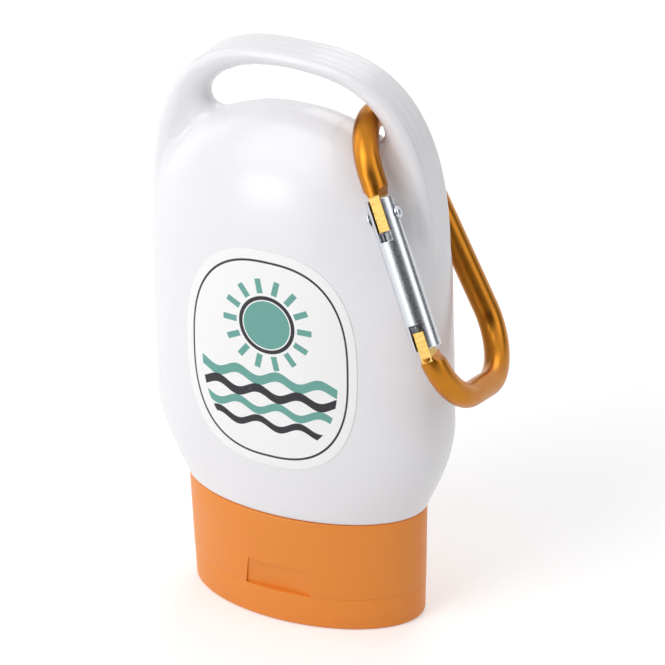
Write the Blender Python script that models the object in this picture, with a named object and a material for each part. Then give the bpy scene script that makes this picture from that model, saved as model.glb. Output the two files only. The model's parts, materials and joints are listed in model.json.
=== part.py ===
"""Pocket sunscreen bottle that stands on its flip-top closure, with a moulded carrying loop
over the shoulder and a snap hook hung in the loop.

Sizes are in metres. X runs along the width, the front faces -Y and Z is up. The origin is
the centre of the lid's outer face, which the bottle stands on.
"""
import math

import bmesh
import bpy
from mathutils import Matrix, Vector

# Clearances and rounding that several pieces share
FIT_GAP = 0.0003
OVERRUN = 0.0020
UNION_DEPTH = 0.0004
HAIR_CHAMFER = 0.0003

# Closure and lid, seen from outside
CLOSURE_HALF_WIDTH = 0.0200
CLOSURE_HALF_DEPTH = 0.0113
CLOSURE_HEIGHT = 0.0187
CLOSURE_WALL = 0.0014
CLOSURE_FOOT_SHARE = 0.972
CLOSURE_POWER = 1.97
SEAM_HEIGHT = 0.0055
DECK_THICKNESS = 0.0013
LID_INSET = 0.00015
LID_WALL = 0.0012
LID_PLATE = 0.0012
LID_EDGE_RADIUS = 0.0006

# Spout, its sealing pin and the thumb recess
SPOUT_BORE_RADIUS = 0.0023
SPOUT_RADIUS = 0.0035
SPOUT_LENGTH = 0.0016
PIN_REACH = 0.0012
RECESS_FOOT_WIDTH = 0.0116
RECESS_TOP_WIDTH = 0.0100
RECESS_HEIGHT = 0.0046
RECESS_FOOT_DEPTH = 0.0009
RECESS_TOP_DEPTH = 0.0003

# Living hinge at the back: a film on the fold line and a snap band on each side
HINGE_FILM_WIDTH = 0.0070
HINGE_FILM_HEIGHT = 0.0018
HINGE_FILM_THICKNESS = 0.00035
SNAP_BAND_WIDTH = 0.0022
SNAP_BAND_HEIGHT = 0.0030
SNAP_BAND_OFFSET = 0.0072

# Bottle body
BODY_HALF_WIDTH = 0.0245
BODY_HALF_DEPTH = 0.0119
BODY_TOP = 0.0839
BODY_WALL = 0.0011
BODY_POWER = 2.4
FLARE_HEIGHT = 0.0145
TAPER_START = 0.0400
SHOULDER_HEIGHT = 0.0600
SHOULDER_POWER = 2.12
TAPER_POWER = 2.3

# Neck, its snap bead and what grips it inside the closure
NECK_RADIUS = 0.0075
NECK_WALL = 0.0012
BEAD_HEIGHT = 0.0004
BEAD_WIDTH = 0.0010
BEAD_SETBACK = 0.0026
SLEEVE_WALL = 0.0010
SLEEVE_DEPTH = 0.0085
PLUG_WALL = 0.0008
PLUG_LENGTH = 0.0024

# Carrying loop, one piece with the body
LOOP_HALF_WIDTH = 0.0240
OPENING_HEIGHT = 0.0072
LOOP_POWER = 2.8
LOOP_DEPTH = 0.0070
LOOP_TOP_THICKNESS = 0.0027
LOOP_LEG_THICKNESS = 0.0044
LOOP_SWELL_POWER = 0.7
LOOP_FOOT_RISE = 0.0025
LOOP_EDGE = 0.0004
LOOP_INNER_EDGE = 0.0021
INNER_EDGE_SHARE = 0.9
OPENING_END_RADIUS = 0.0022
OPENING_FLARE = 0.0012
WEB_RECESS = 0.0010
WEB_INNER_SHARE = 0.82
GROOVE_WIDTH = 0.0008
GROOVE_DEPTH = 0.00015
GROOVE_PITCH = 0.0016
GROOVE_COUNT = 3

# Front label
LABEL_HALF_WIDTH = 0.0145
LABEL_HALF_HEIGHT = 0.0180
LABEL_THICKNESS = 0.00015
LABEL_HEIGHT = 0.0462
LABEL_POWER = 2.6
LABEL_RING_SHARES = (0.12, 0.42, 0.72, 1.0)

# Snap hook: a bent rod in a plane of its own, s down along the gate and t towards the spine
ROD_RADIUS = 0.00195
TOP_BEND_RADIUS = 0.0086
TOP_BEND_RISE = 0.0063
NOSE_BEND_RADIUS = 0.0094
NOSE_BEND_DROP = 0.0200
SPINE_BEND_RADIUS = 0.0087
SPINE_BEND_DROP = 0.0203
SPINE_BEND_OFFSET = 0.01575
TONGUE_THICKNESS = 0.0017
TONGUE_INSIDE = 0.0013
TOP_ROOT_RISE = 0.0032
TOP_TONGUE_DROP = 0.0022
NOSE_ROOT_DROP = 0.0218
NOSE_TIP_DROP = 0.0179

# Gate of the hook, with its rivet, spring and plunger
GATE_RADIUS = 0.0022
GATE_TOP_RISE = 0.0027
GATE_FOOT_DROP = 0.0206
GATE_SLOT_WIDTH = 0.0022
GATE_TOP_SLOT_DROP = 0.0037
GATE_FOOT_SLOT_DROP = 0.0167
GATE_STOP_WALL = 0.0008
GATE_BORE_RADIUS = 0.0014
GATE_BORE_DROP = 0.0136
RIVET_RADIUS = 0.0006
RIVET_CLEARANCE = 0.0002
RIVET_HEAD_RADIUS = 0.00105
RIVET_HEAD_HEIGHT = 0.0005
PLUNGER_RADIUS = 0.0011
PLUNGER_LENGTH = 0.0032
SPRING_RADIUS = 0.0009
SPRING_WIRE_RADIUS = 0.00016
SPRING_TURNS = 9

# How the hook hangs: its crest from the end of the loop's opening, three angles and its swing
HOOK_SLIDE = 0.00176
HOOK_SETBACK = 0.00309
HOOK_DROP = 0.00097
HOOK_HEADING = math.radians(62.0)
HOOK_PITCH = math.radians(59.1)
HOOK_TWIST = math.radians(55.5)
SWING_INSET = 0.0008
SWING_LEAD = 0.0030

# Facets
RING_POINTS = 48
ROUND_SIDES = 32
SMALL_SIDES = 16
ROD_SIDES = 12
LOOP_STATIONS = 52
WEB_STEPS = 8
LABEL_POINTS = 40
FLARE_LEVELS = 7
WAIST_LEVELS = 5
SHOULDER_LEVELS = 9
CREST_STEP_SHARE = 0.4
ARC_STEP = math.radians(12)
SPRING_STEPS = 9

# Heights and radii that follow from the sizes above
LOOP_RISE = BODY_TOP + OPENING_HEIGHT + LOOP_TOP_THICKNESS - SHOULDER_HEIGHT
LID_TOP = SEAM_HEIGHT - FIT_GAP / 2
CLOSURE_FOOT = SEAM_HEIGHT + FIT_GAP / 2
DECK_TOP = CLOSURE_FOOT + DECK_THICKNESS
CORE_FLOOR = DECK_TOP + HAIR_CHAMFER
BODY_BASE = CLOSURE_HEIGHT + FIT_GAP
FLARE_TOP = BODY_BASE + FLARE_HEIGHT
NECK_TIP = CORE_FLOOR + FIT_GAP
NECK_BORE_RADIUS = NECK_RADIUS - NECK_WALL
SLEEVE_RADIUS = NECK_RADIUS + FIT_GAP
PLUG_RADIUS = NECK_BORE_RADIUS - FIT_GAP
SPOUT_TIP = CLOSURE_FOOT - SPOUT_LENGTH
PIN_RADIUS = SPOUT_BORE_RADIUS - FIT_GAP
PIN_TIP = SPOUT_TIP + PIN_REACH


def new_object(name, mesh_or_bm, parent=None, material=None):
    """Link a mesh, or a bmesh that is freed here, as an object under an optional parent."""
    if isinstance(mesh_or_bm, bmesh.types.BMesh):
        mesh = bpy.data.meshes.new(name)
        mesh_or_bm.to_mesh(mesh)
        mesh_or_bm.free()
    else:
        mesh = mesh_or_bm
    obj = bpy.data.objects.new(name, mesh)
    bpy.context.collection.objects.link(obj)
    obj.parent = parent
    if material:
        obj.data.materials.clear()
        obj.data.materials.append(material)
    return obj


def plastic_or_metal(name, colour, roughness, metallic=0.0):
    """A Principled material with a plain colour."""
    mat = bpy.data.materials.new(name)
    mat.use_nodes = True
    shader = mat.node_tree.nodes["Principled BSDF"]
    shader.inputs["Base Color"].default_value = (*colour, 1.0)
    shader.inputs["Roughness"].default_value = roughness
    shader.inputs["Metallic"].default_value = metallic
    mat.diffuse_color = (*colour, 1.0)
    return mat


def smooth(obj, angle=math.radians(35)):
    obj.data.shade_smooth()
    obj.data.set_sharp_from_angle(angle=angle)


def skin(bm, rings):
    """Join equal rings of points into one closed skin with a flat face on each end."""
    loops = [[bm.verts.new(point) for point in ring] for ring in rings]
    count = len(loops[0])
    for low, high in zip(loops, loops[1:]):
        for i in range(count):
            j = (i + 1) % count
            bm.faces.new((low[i], low[j], high[j], high[i]))
    bm.faces.new(list(reversed(loops[0])))
    bm.faces.new(loops[-1])
    bmesh.ops.recalc_face_normals(bm, faces=bm.faces)
    if bm.calc_volume(signed=True) < 0:
        bmesh.ops.reverse_faces(bm, faces=bm.faces)


def skinned(rings):
    bm = bmesh.new()
    skin(bm, rings)
    return bm


def turned(profile, sides):
    """Spin a closed outline of (radius, height) pairs around Z."""
    bm = bmesh.new()
    verts = [bm.verts.new((radius, 0, height)) for radius, height in profile]
    edges = [bm.edges.new((a, b)) for a, b in zip(verts, verts[1:] + verts[:1])
             if a.co.x > 0 or b.co.x > 0]
    bmesh.ops.spin(bm, geom=verts + edges, cent=(0, 0, 0), axis=(0, 0, 1),
                   angle=math.tau, steps=sides, use_merge=True)
    bmesh.ops.remove_doubles(bm, verts=bm.verts, dist=UNION_DEPTH / 100)
    bmesh.ops.recalc_face_normals(bm, faces=bm.faces)
    return bm


def block(low, high):
    bm = bmesh.new()
    bmesh.ops.create_cube(bm, size=1.0)
    size = Vector(high) - Vector(low)
    bmesh.ops.scale(bm, vec=size, verts=bm.verts)
    bmesh.ops.translate(bm, vec=(Vector(high) + Vector(low)) / 2, verts=bm.verts)
    return bm


def rod_along(axis_index, radius, start, end, sides):
    """A closed cylinder from start to end along one axis of its own frame."""
    points = [(radius * math.cos(math.tau * i / sides), radius * math.sin(math.tau * i / sides))
              for i in range(sides)]
    rings = []
    for along in (start, end):
        ring = []
        for u, v in points:
            place = [u, v]
            place.insert(axis_index, along)
            ring.append(place)
        rings.append(ring)
    return skinned(rings)


def combined(obj, operation, *cutters):
    """Apply one exact boolean for each cutter and delete the cutters."""
    for bm in cutters:
        tool = new_object("tool", bm)
        tool.hide_render = True
        tool.display_type = "WIRE"
        boolean = obj.modifiers.new("cut", "BOOLEAN")
        boolean.operation = operation
        boolean.object = tool
        depsgraph = bpy.context.evaluated_depsgraph_get()
        mesh = bpy.data.meshes.new_from_object(obj.evaluated_get(depsgraph))
        obj.modifiers.clear()
        obj.data = mesh
        bpy.data.objects.remove(tool)
    return obj


def signed_power(value, power):
    return math.copysign(abs(value) ** power, value)


def oval(half_width, half_depth, power, height, count=RING_POINTS):
    """A level superellipse ring."""
    ring = []
    for i in range(count):
        turn = math.tau * i / count
        ring.append((half_width * signed_power(math.cos(turn), 2 / power),
                     half_depth * signed_power(math.sin(turn), 2 / power), height))
    return ring


# Closure and lid

def closure_oval(height, inset=0.0):
    """The closure's outline, which narrows a little towards the lid."""
    share = CLOSURE_FOOT_SHARE + (1 - CLOSURE_FOOT_SHARE) * height / CLOSURE_HEIGHT
    return oval(CLOSURE_HALF_WIDTH * share - inset, CLOSURE_HALF_DEPTH * share - inset,
                CLOSURE_POWER, height)


def closure_surface(height, x=0.0):
    """Half-depth of the closure's outside at a height and a distance from the middle."""
    share = CLOSURE_FOOT_SHARE + (1 - CLOSURE_FOOT_SHARE) * height / CLOSURE_HEIGHT
    across = min(abs(x) / (CLOSURE_HALF_WIDTH * share), 1.0)
    return CLOSURE_HALF_DEPTH * share * (1 - across ** CLOSURE_POWER) ** (1 / CLOSURE_POWER)


def closure_core():
    """Neck sleeve with its bead groove, bore plug and spout, turned as one ring."""
    sleeve_outside = SLEEVE_RADIUS + SLEEVE_WALL
    sleeve_top = CORE_FLOOR + SLEEVE_DEPTH
    groove_radius = SLEEVE_RADIUS + BEAD_HEIGHT
    groove_mid = NECK_TIP + BEAD_SETBACK
    groove_half = BEAD_WIDTH / 2 + FIT_GAP
    plug_inside = PLUG_RADIUS - PLUG_WALL
    plug_top = CORE_FLOOR + PLUG_LENGTH
    deck_middle = CLOSURE_FOOT + DECK_THICKNESS / 2
    bore = SPOUT_BORE_RADIUS - HAIR_CHAMFER
    return turned([
        (bore, SPOUT_TIP), (SPOUT_RADIUS - HAIR_CHAMFER, SPOUT_TIP),
        (SPOUT_RADIUS, SPOUT_TIP + HAIR_CHAMFER), (SPOUT_RADIUS, deck_middle),
        (sleeve_outside, deck_middle), (sleeve_outside, sleeve_top),
        (SLEEVE_RADIUS + HAIR_CHAMFER, sleeve_top), (SLEEVE_RADIUS, sleeve_top - HAIR_CHAMFER),
        (SLEEVE_RADIUS, groove_mid + groove_half), (groove_radius, groove_mid),
        (SLEEVE_RADIUS, groove_mid - groove_half), (SLEEVE_RADIUS, CORE_FLOOR),
        (PLUG_RADIUS, CORE_FLOOR), (PLUG_RADIUS, plug_top), (plug_inside, plug_top),
        (plug_inside, CORE_FLOOR), (bore, CORE_FLOOR)], ROUND_SIDES)


def thumb_recess():
    """Wedge under the thumb: deepest at the seam, narrower and shallow at its top."""
    front = -closure_surface(CLOSURE_FOOT)
    rings = []
    for height, width, depth in (
            (CLOSURE_FOOT - OVERRUN, RECESS_FOOT_WIDTH, RECESS_FOOT_DEPTH),
            (CLOSURE_FOOT, RECESS_FOOT_WIDTH, RECESS_FOOT_DEPTH),
            (CLOSURE_FOOT + RECESS_HEIGHT, RECESS_TOP_WIDTH, RECESS_TOP_DEPTH)):
        y = front + depth
        rings.append([(-width / 2, front - OVERRUN, height), (width / 2, front - OVERRUN, height),
                      (width / 2, y, height), (-width / 2, y, height)])
    return skinned(rings)


def make_closure(orange):
    outside = [closure_oval(CLOSURE_FOOT, HAIR_CHAMFER / 2),
               closure_oval(CLOSURE_FOOT + HAIR_CHAMFER),
               closure_oval(CLOSURE_HEIGHT - HAIR_CHAMFER),
               closure_oval(CLOSURE_HEIGHT, HAIR_CHAMFER / 2)]
    hollow = [closure_oval(DECK_TOP, CLOSURE_WALL), closure_oval(CLOSURE_HEIGHT, CLOSURE_WALL),
              closure_oval(CLOSURE_HEIGHT + OVERRUN, CLOSURE_WALL)]
    closure = new_object("closure_body", skinned(outside), material=orange)
    combined(closure, "DIFFERENCE", skinned(hollow))
    combined(closure, "UNION", closure_core())
    bore = rod_along(2, SPOUT_BORE_RADIUS, SPOUT_TIP - OVERRUN, CORE_FLOOR + OVERRUN, SMALL_SIDES)
    combined(closure, "DIFFERENCE", thumb_recess(), bore)
    smooth(closure)


def hinge_line():
    """A point on the fold line, just behind the closure's wall."""
    y = closure_surface(SEAM_HEIGHT) + FIT_GAP + HINGE_FILM_THICKNESS / 2
    return Vector((0, y, SEAM_HEIGHT))


def make_lid(orange):
    hinge = bpy.data.objects.new("lid_hinge", None)
    bpy.context.collection.objects.link(hinge)
    hinge.location = hinge_line()
    rings = []
    for step in range(4):
        turn = math.pi / 2 * step / 3
        drop = LID_EDGE_RADIUS * (1 - math.sin(turn))
        rings.append(closure_oval(LID_EDGE_RADIUS * (1 - math.cos(turn)), LID_INSET + drop))
    rings.append(closure_oval(LID_TOP - HAIR_CHAMFER, LID_INSET))
    rings.append(closure_oval(LID_TOP, LID_INSET + HAIR_CHAMFER / 2))
    inset = LID_INSET + LID_WALL
    hollow = [closure_oval(LID_PLATE, inset), closure_oval(LID_TOP + OVERRUN, inset)]
    pin = turned([(0, LID_PLATE - UNION_DEPTH), (PIN_RADIUS, LID_PLATE - UNION_DEPTH),
                  (PIN_RADIUS, PIN_TIP - HAIR_CHAMFER), (PIN_RADIUS - HAIR_CHAMFER, PIN_TIP),
                  (0, PIN_TIP)], SMALL_SIDES)
    lid = new_object("flip_lid", skinned(rings), material=orange)
    combined(lid, "DIFFERENCE", skinned(hollow))
    combined(lid, "UNION", pin)
    lid.data.transform(Matrix.Translation(-hinge.location))
    lid.parent = hinge
    smooth(lid)


def strip(width, height, thickness, middle):
    half = Vector((width, thickness, height)) / 2
    return block(middle - half, middle + half)


def make_hinge(orange):
    fold = hinge_line()
    film = strip(HINGE_FILM_WIDTH, HINGE_FILM_HEIGHT, HINGE_FILM_THICKNESS, fold)
    new_object("hinge_film", film, material=orange)
    for side, name in ((-1, "snap_band_left"), (1, "snap_band_right")):
        inner_x = SNAP_BAND_OFFSET - SNAP_BAND_WIDTH / 2
        outer_x = SNAP_BAND_OFFSET + SNAP_BAND_WIDTH / 2
        low, high = SEAM_HEIGHT - SNAP_BAND_HEIGHT / 2, SEAM_HEIGHT + SNAP_BAND_HEIGHT / 2
        rings = []
        for height in (low, high):
            near, far = (closure_surface(high, x) + FIT_GAP for x in (inner_x, outer_x))
            rings.append([(side * inner_x, near, height), (side * outer_x, far, height),
                          (side * outer_x, far + HINGE_FILM_THICKNESS, height),
                          (side * inner_x, near + HINGE_FILM_THICKNESS, height)])
        new_object(name, skinned(rings), material=orange)


# Bottle body

def flare_share(height):
    """How much of the flare above the closure lies below a height."""
    return min(max((height - BODY_BASE) / FLARE_HEIGHT, 0.0), 1.0)


def body_half_width(height):
    if height <= SHOULDER_HEIGHT:
        swell = BODY_HALF_WIDTH - CLOSURE_HALF_WIDTH
        return CLOSURE_HALF_WIDTH + swell * math.sin(flare_share(height) * math.pi / 2)
    share = min((height - SHOULDER_HEIGHT) / (BODY_TOP - SHOULDER_HEIGHT), 1.0)
    return BODY_HALF_WIDTH * (1 - share ** SHOULDER_POWER) ** (1 / SHOULDER_POWER)


def body_half_depth(height):
    swell = BODY_HALF_DEPTH - CLOSURE_HALF_DEPTH
    full = CLOSURE_HALF_DEPTH + swell * math.sin(flare_share(height) * math.pi / 2)
    share = min(max((height - TAPER_START) / (BODY_TOP - TAPER_START), 0.0), 1.0)
    return full * (1 - share ** TAPER_POWER) ** (1 / TAPER_POWER)


def body_power(height):
    return CLOSURE_POWER + (BODY_POWER - CLOSURE_POWER) * flare_share(height)


def body_surface(x, height):
    """Half-depth of the body's outside at a distance from the middle and a height."""
    power = body_power(height)
    across = min(abs(x) / body_half_width(height), 1.0)
    return body_half_depth(height) * (1 - across ** power) ** (1 / power)


def body_heights():
    flare = [BODY_BASE + FLARE_HEIGHT * i / FLARE_LEVELS for i in range(FLARE_LEVELS)]
    flare[1:1] = [BODY_BASE + HAIR_CHAMFER]
    span = SHOULDER_HEIGHT - FLARE_TOP
    waist = [FLARE_TOP + span * i / WAIST_LEVELS for i in range(WAIST_LEVELS)]
    rise = BODY_TOP - SHOULDER_HEIGHT
    shoulder = [SHOULDER_HEIGHT + rise * math.sin(math.pi / 2 * i / SHOULDER_LEVELS)
                for i in [*range(SHOULDER_LEVELS), SHOULDER_LEVELS - CREST_STEP_SHARE]]
    return flare + waist + shoulder + [BODY_TOP - HAIR_CHAMFER / 4]


def body_rings(wall=0.0):
    """Level rings of the body's outside, or of its inside for a wall thickness."""
    rings = []
    for height in body_heights():
        share = (height - BODY_BASE) / (BODY_TOP - BODY_BASE)
        level = BODY_BASE + wall + share * (BODY_TOP - BODY_BASE - 2 * wall)
        edge = HAIR_CHAMFER if height == BODY_BASE else 0.0
        rings.append(oval((body_half_width(height) - edge) * (1 - wall / BODY_HALF_WIDTH),
                          (body_half_depth(height) - edge) * (1 - wall / BODY_HALF_DEPTH),
                          body_power(height), level))
    return rings


def loop_point(turn):
    """A point of the loop's outer outline and the outward direction there, in X and Z."""
    power = 2 / LOOP_POWER
    cos, sin = math.cos(turn), math.sin(turn)
    point = Vector((LOOP_HALF_WIDTH * signed_power(cos, power), 0,
                    SHOULDER_HEIGHT + LOOP_RISE * signed_power(sin, power)))
    outward = Vector((signed_power(cos, 2 - power) / LOOP_HALF_WIDTH, 0,
                      signed_power(sin, 2 - power) / LOOP_RISE))
    return point, outward.normalized()


def loop_thickness(turn):
    swell = abs(math.cos(turn)) ** LOOP_SWELL_POWER
    return LOOP_TOP_THICKNESS + (LOOP_LEG_THICKNESS - LOOP_TOP_THICKNESS) * swell


def loop_foot_turn():
    return math.asin((LOOP_FOOT_RISE / LOOP_RISE) ** (LOOP_POWER / 2))


def loop_section(thickness):
    """Section of the loop as (outward, across) pairs: grooves outside, rounded corners."""
    half = LOOP_DEPTH / 2
    inner = min(LOOP_INNER_EDGE, (thickness - LOOP_EDGE) * INNER_EDGE_SHARE)
    section = [(-LOOP_EDGE, -half), (0, LOOP_EDGE - half)]
    for i in range(GROOVE_COUNT):
        middle = (i - (GROOVE_COUNT - 1) / 2) * GROOVE_PITCH
        section += [(0, middle - GROOVE_WIDTH / 2), (-GROOVE_DEPTH, middle),
                    (0, middle + GROOVE_WIDTH / 2)]
    section += [(0, half - LOOP_EDGE), (-LOOP_EDGE, half)]
    section += [(inner - thickness, half), (-thickness, half - inner),
                (-thickness, inner - half), (inner - thickness, -half)]
    return section


def loop_band():
    foot = loop_foot_turn()
    rings = []
    for i in range(LOOP_STATIONS + 1):
        turn = foot + (math.pi - 2 * foot) * i / LOOP_STATIONS
        point, outward = loop_point(turn)
        section = loop_section(loop_thickness(turn))
        rings.append([point + outward * u + Vector((0, v, 0)) for u, v in section])
    return skinned(rings)


def gap_to_body(point):
    """Distance in the middle plane from a point to the body's arch, and the nearest point."""
    best, nearest = None, None
    steps = 400
    for i in range(steps + 1):
        turn = math.pi / 2 * i / steps
        height = SHOULDER_HEIGHT + (BODY_TOP - SHOULDER_HEIGHT) * math.sin(turn)
        arch = Vector((body_half_width(height), 0, height))
        gap = (arch - point).length
        if best is None or gap < best:
            best, nearest = gap, arch
    return best, nearest


def opening_end():
    """Where the round end of the opening sits: one radius from the loop and from the body."""
    low, high = loop_foot_turn(), math.pi / 2
    for _ in range(30):
        turn = (low + high) / 2
        point, outward = loop_point(turn)
        centre = point - outward * (loop_thickness(turn) + OPENING_END_RADIUS)
        gap, nearest = gap_to_body(centre)
        arch = body_half_width(max(centre.z, SHOULDER_HEIGHT))
        inside = centre.z < BODY_TOP and centre.x < arch
        if inside or gap < OPENING_END_RADIUS:
            low = turn
        else:
            high = turn
    return centre, turn, nearest


def loop_web(side):
    """Solid between a leg of the loop and the body, up to the opening's round end."""
    centre, end_turn, nearest = opening_end()
    foot = loop_foot_turn()
    outline = [centre]
    for i in range(WEB_STEPS + 1):
        turn = end_turn + (foot - end_turn) * i / WEB_STEPS
        point, outward = loop_point(turn)
        outline.append(point - outward * loop_thickness(turn) / 2)
    low = SHOULDER_HEIGHT + LOOP_FOOT_RISE
    sunk = (1 - WEB_INNER_SHARE) * (nearest.z - low)
    for i in range(WEB_STEPS + 1):
        height = low + (nearest.z - low) * i / WEB_STEPS
        outline.append(Vector((body_half_width(height) * WEB_INNER_SHARE, 0, height - sunk)))
    half = LOOP_DEPTH / 2 - WEB_RECESS
    rings = [[(side * p.x, y, p.z) for p in outline] for y in (-half, half)]
    return skinned(rings)


def opening_cutter(side):
    """The round end of the opening, which flares towards both faces of the web."""
    centre = opening_end()[0]
    face = LOOP_DEPTH / 2 - WEB_RECESS
    wide = OPENING_END_RADIUS + OPENING_FLARE
    half = [(face - OPENING_FLARE, OPENING_END_RADIUS), (face, wide), (LOOP_DEPTH, wide)]
    rings = []
    for y, radius in [(-y, radius) for y, radius in reversed(half)] + half:
        rings.append([(side * centre.x + x, y, centre.z + z)
                      for x, z, _ in oval(radius, radius, 2, 0, SMALL_SIDES)])
    return skinned(rings)


def neck():
    bead_mid = NECK_TIP + BEAD_SETBACK
    return turned([
        (0, NECK_TIP), (NECK_RADIUS - HAIR_CHAMFER, NECK_TIP),
        (NECK_RADIUS, NECK_TIP + HAIR_CHAMFER), (NECK_RADIUS, bead_mid - BEAD_WIDTH / 2),
        (NECK_RADIUS + BEAD_HEIGHT, bead_mid), (NECK_RADIUS, bead_mid + BEAD_WIDTH / 2),
        (NECK_RADIUS, BODY_BASE + UNION_DEPTH), (0, BODY_BASE + UNION_DEPTH)], ROUND_SIDES)


def make_body(white):
    body = new_object("bottle_body", skinned(body_rings()), material=white)
    for side in (-1, 1):
        web = new_object("web", loop_web(side))
        combined(web, "DIFFERENCE", opening_cutter(side))
        bm = bmesh.new()
        bm.from_mesh(web.data)
        bpy.data.objects.remove(web)
        combined(body, "UNION", bm)
    combined(body, "UNION", loop_band(), neck())
    bore = rod_along(2, NECK_BORE_RADIUS, NECK_TIP - OVERRUN,
                     BODY_BASE + BODY_WALL + OVERRUN, ROUND_SIDES)
    combined(body, "DIFFERENCE", skinned(body_rings(BODY_WALL)), bore)
    smooth(body)


def make_label(white):
    """A thin sheet that follows the front of the body, in rings from its middle outwards."""
    rings = []
    inner, outer = FIT_GAP, FIT_GAP + LABEL_THICKNESS
    for lift, shares in ((inner, LABEL_RING_SHARES), (outer, LABEL_RING_SHARES[::-1])):
        for share in shares:
            ring = []
            for x, z, _ in oval(LABEL_HALF_WIDTH * share, LABEL_HALF_HEIGHT * share,
                                LABEL_POWER, 0, LABEL_POINTS):
                height = LABEL_HEIGHT + z
                ring.append((x, -body_surface(x, height) - lift, height))
            rings.append(ring)
    label = new_object("front_label", skinned(rings), material=white)
    smooth(label)


# Snap hook, built in its own frame: s, t and n become X, Y and Z

def hook_bends():
    """Centres and radii of the three bends: top, spine and nose."""
    return ((Vector((-TOP_BEND_RISE, TOP_BEND_RADIUS)), TOP_BEND_RADIUS),
            (Vector((SPINE_BEND_DROP, SPINE_BEND_OFFSET)), SPINE_BEND_RADIUS),
            (Vector((NOSE_BEND_DROP, NOSE_BEND_RADIUS)), NOSE_BEND_RADIUS))


def tangent_turn(first, second):
    """Direction from both centres to the outer tangent from the first bend to the next."""
    (centre_a, radius_a), (centre_b, radius_b) = first, second
    along = centre_b - centre_a
    lean = math.acos(max(-1.0, min(1.0, (radius_a - radius_b) / along.length)))
    return math.atan2(along.y, along.x) + lean


def hook_path():
    """Centre line of the rod from the rivet's end round the spine to the nose, with normals."""
    top, spine, nose = hook_bends()
    start = -math.pi / 2
    first = tangent_turn(top, spine) - math.tau
    second = tangent_turn(spine, nose)
    second -= math.tau * math.ceil((second - first) / math.tau)
    nose_angle = (NOSE_ROOT_DROP - NOSE_BEND_DROP) / NOSE_BEND_RADIUS
    last = -math.pi / 2 - math.tau + math.asin(max(-1.0, min(1.0, nose_angle)))
    points = [(Vector((-TOP_ROOT_RISE, 0)), Vector((0, -1)))]
    turns = (start, first, second, last)
    for (centre, radius), low, high in zip((top, spine, nose), turns, turns[1:]):
        steps = max(2, round(abs(high - low) / ARC_STEP))
        for i in range(steps + 1):
            turn = low + (high - low) * i / steps
            outward = Vector((math.cos(turn), math.sin(turn)))
            points.append((centre + outward * radius, outward))
    return points


def hook_frame():
    """World matrix of the hook's own frame, whose origin is the rivet's centre."""
    cos_pitch = math.cos(HOOK_PITCH)
    level = Vector((math.cos(HOOK_HEADING), math.sin(HOOK_HEADING), 0))
    along = Vector((level.y * cos_pitch, -level.x * cos_pitch, -math.sin(HOOK_PITCH)))
    normal = math.cos(HOOK_TWIST) * level + math.sin(HOOK_TWIST) * along.cross(level)
    across = normal.cross(along)
    end, turn, _ = opening_end()
    outward = loop_point(turn)[1]
    upward = Vector((-outward.z, 0, outward.x))
    crest = end + upward * HOOK_SLIDE - outward * HOOK_DROP + Vector((0, HOOK_SETBACK, 0))
    origin = crest - along * hook_crest().x - across * hook_crest().y
    turn_matrix = Matrix((along, across, normal)).transposed().to_4x4()
    return Matrix.Translation(origin) @ turn_matrix


def hook_crest():
    """The highest point of the rod's centre line, in the hook's own frame."""
    return Vector((-TOP_BEND_RISE - TOP_BEND_RADIUS, TOP_BEND_RADIUS, 0))


def swing_point():
    """A point of the line that the hook swings about, inside the loop's opening."""
    return hook_crest() + Vector((SWING_INSET, -SWING_LEAD, 0))


def pivot(name, parent, place):
    """An empty at a place of the hook's own frame, turned as that frame is."""
    empty = bpy.data.objects.new(name, None)
    bpy.context.collection.objects.link(empty)
    empty.parent = parent
    empty.matrix_local = place
    return empty


def hook_piece(name, bm, parent, origin, material):
    """Link a piece built in the hook's own frame under a pivot whose place there is origin."""
    bmesh.ops.translate(bm, vec=-origin, verts=bm.verts)
    return new_object(name, bm, parent, material)


def tongue(start, end, rise):
    half = TONGUE_THICKNESS / 2
    return block((start, -ROD_RADIUS + HAIR_CHAMFER, -half), (end, rise, half))


def make_hook_frame(gold, swing):
    ring = [(ROD_RADIUS * math.cos(math.tau * (i + 0.5) / ROD_SIDES),
             ROD_RADIUS * math.sin(math.tau * (i + 0.5) / ROD_SIDES)) for i in range(ROD_SIDES)]
    rings = []
    for point, outward in hook_path():
        rings.append([(point.x + outward.x * u, point.y + outward.y * u, v) for u, v in ring])
    frame = new_object("hook_rod", skinned(rings))
    hole = rod_along(2, RIVET_RADIUS + RIVET_CLEARANCE, -TONGUE_THICKNESS, TONGUE_THICKNESS,
                     SMALL_SIDES)
    overlap = ROD_RADIUS / 2
    combined(frame, "UNION",
             tongue(-TOP_ROOT_RISE - overlap, TOP_TONGUE_DROP, TONGUE_INSIDE),
             tongue(NOSE_TIP_DROP, NOSE_ROOT_DROP + overlap, TONGUE_INSIDE - GATE_STOP_WALL / 2))
    combined(frame, "DIFFERENCE", hole)
    bm = bmesh.new()
    bm.from_mesh(frame.data)
    bpy.data.objects.remove(frame)
    smooth(hook_piece("hook_frame", bm, swing, swing_point(), gold))


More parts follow.
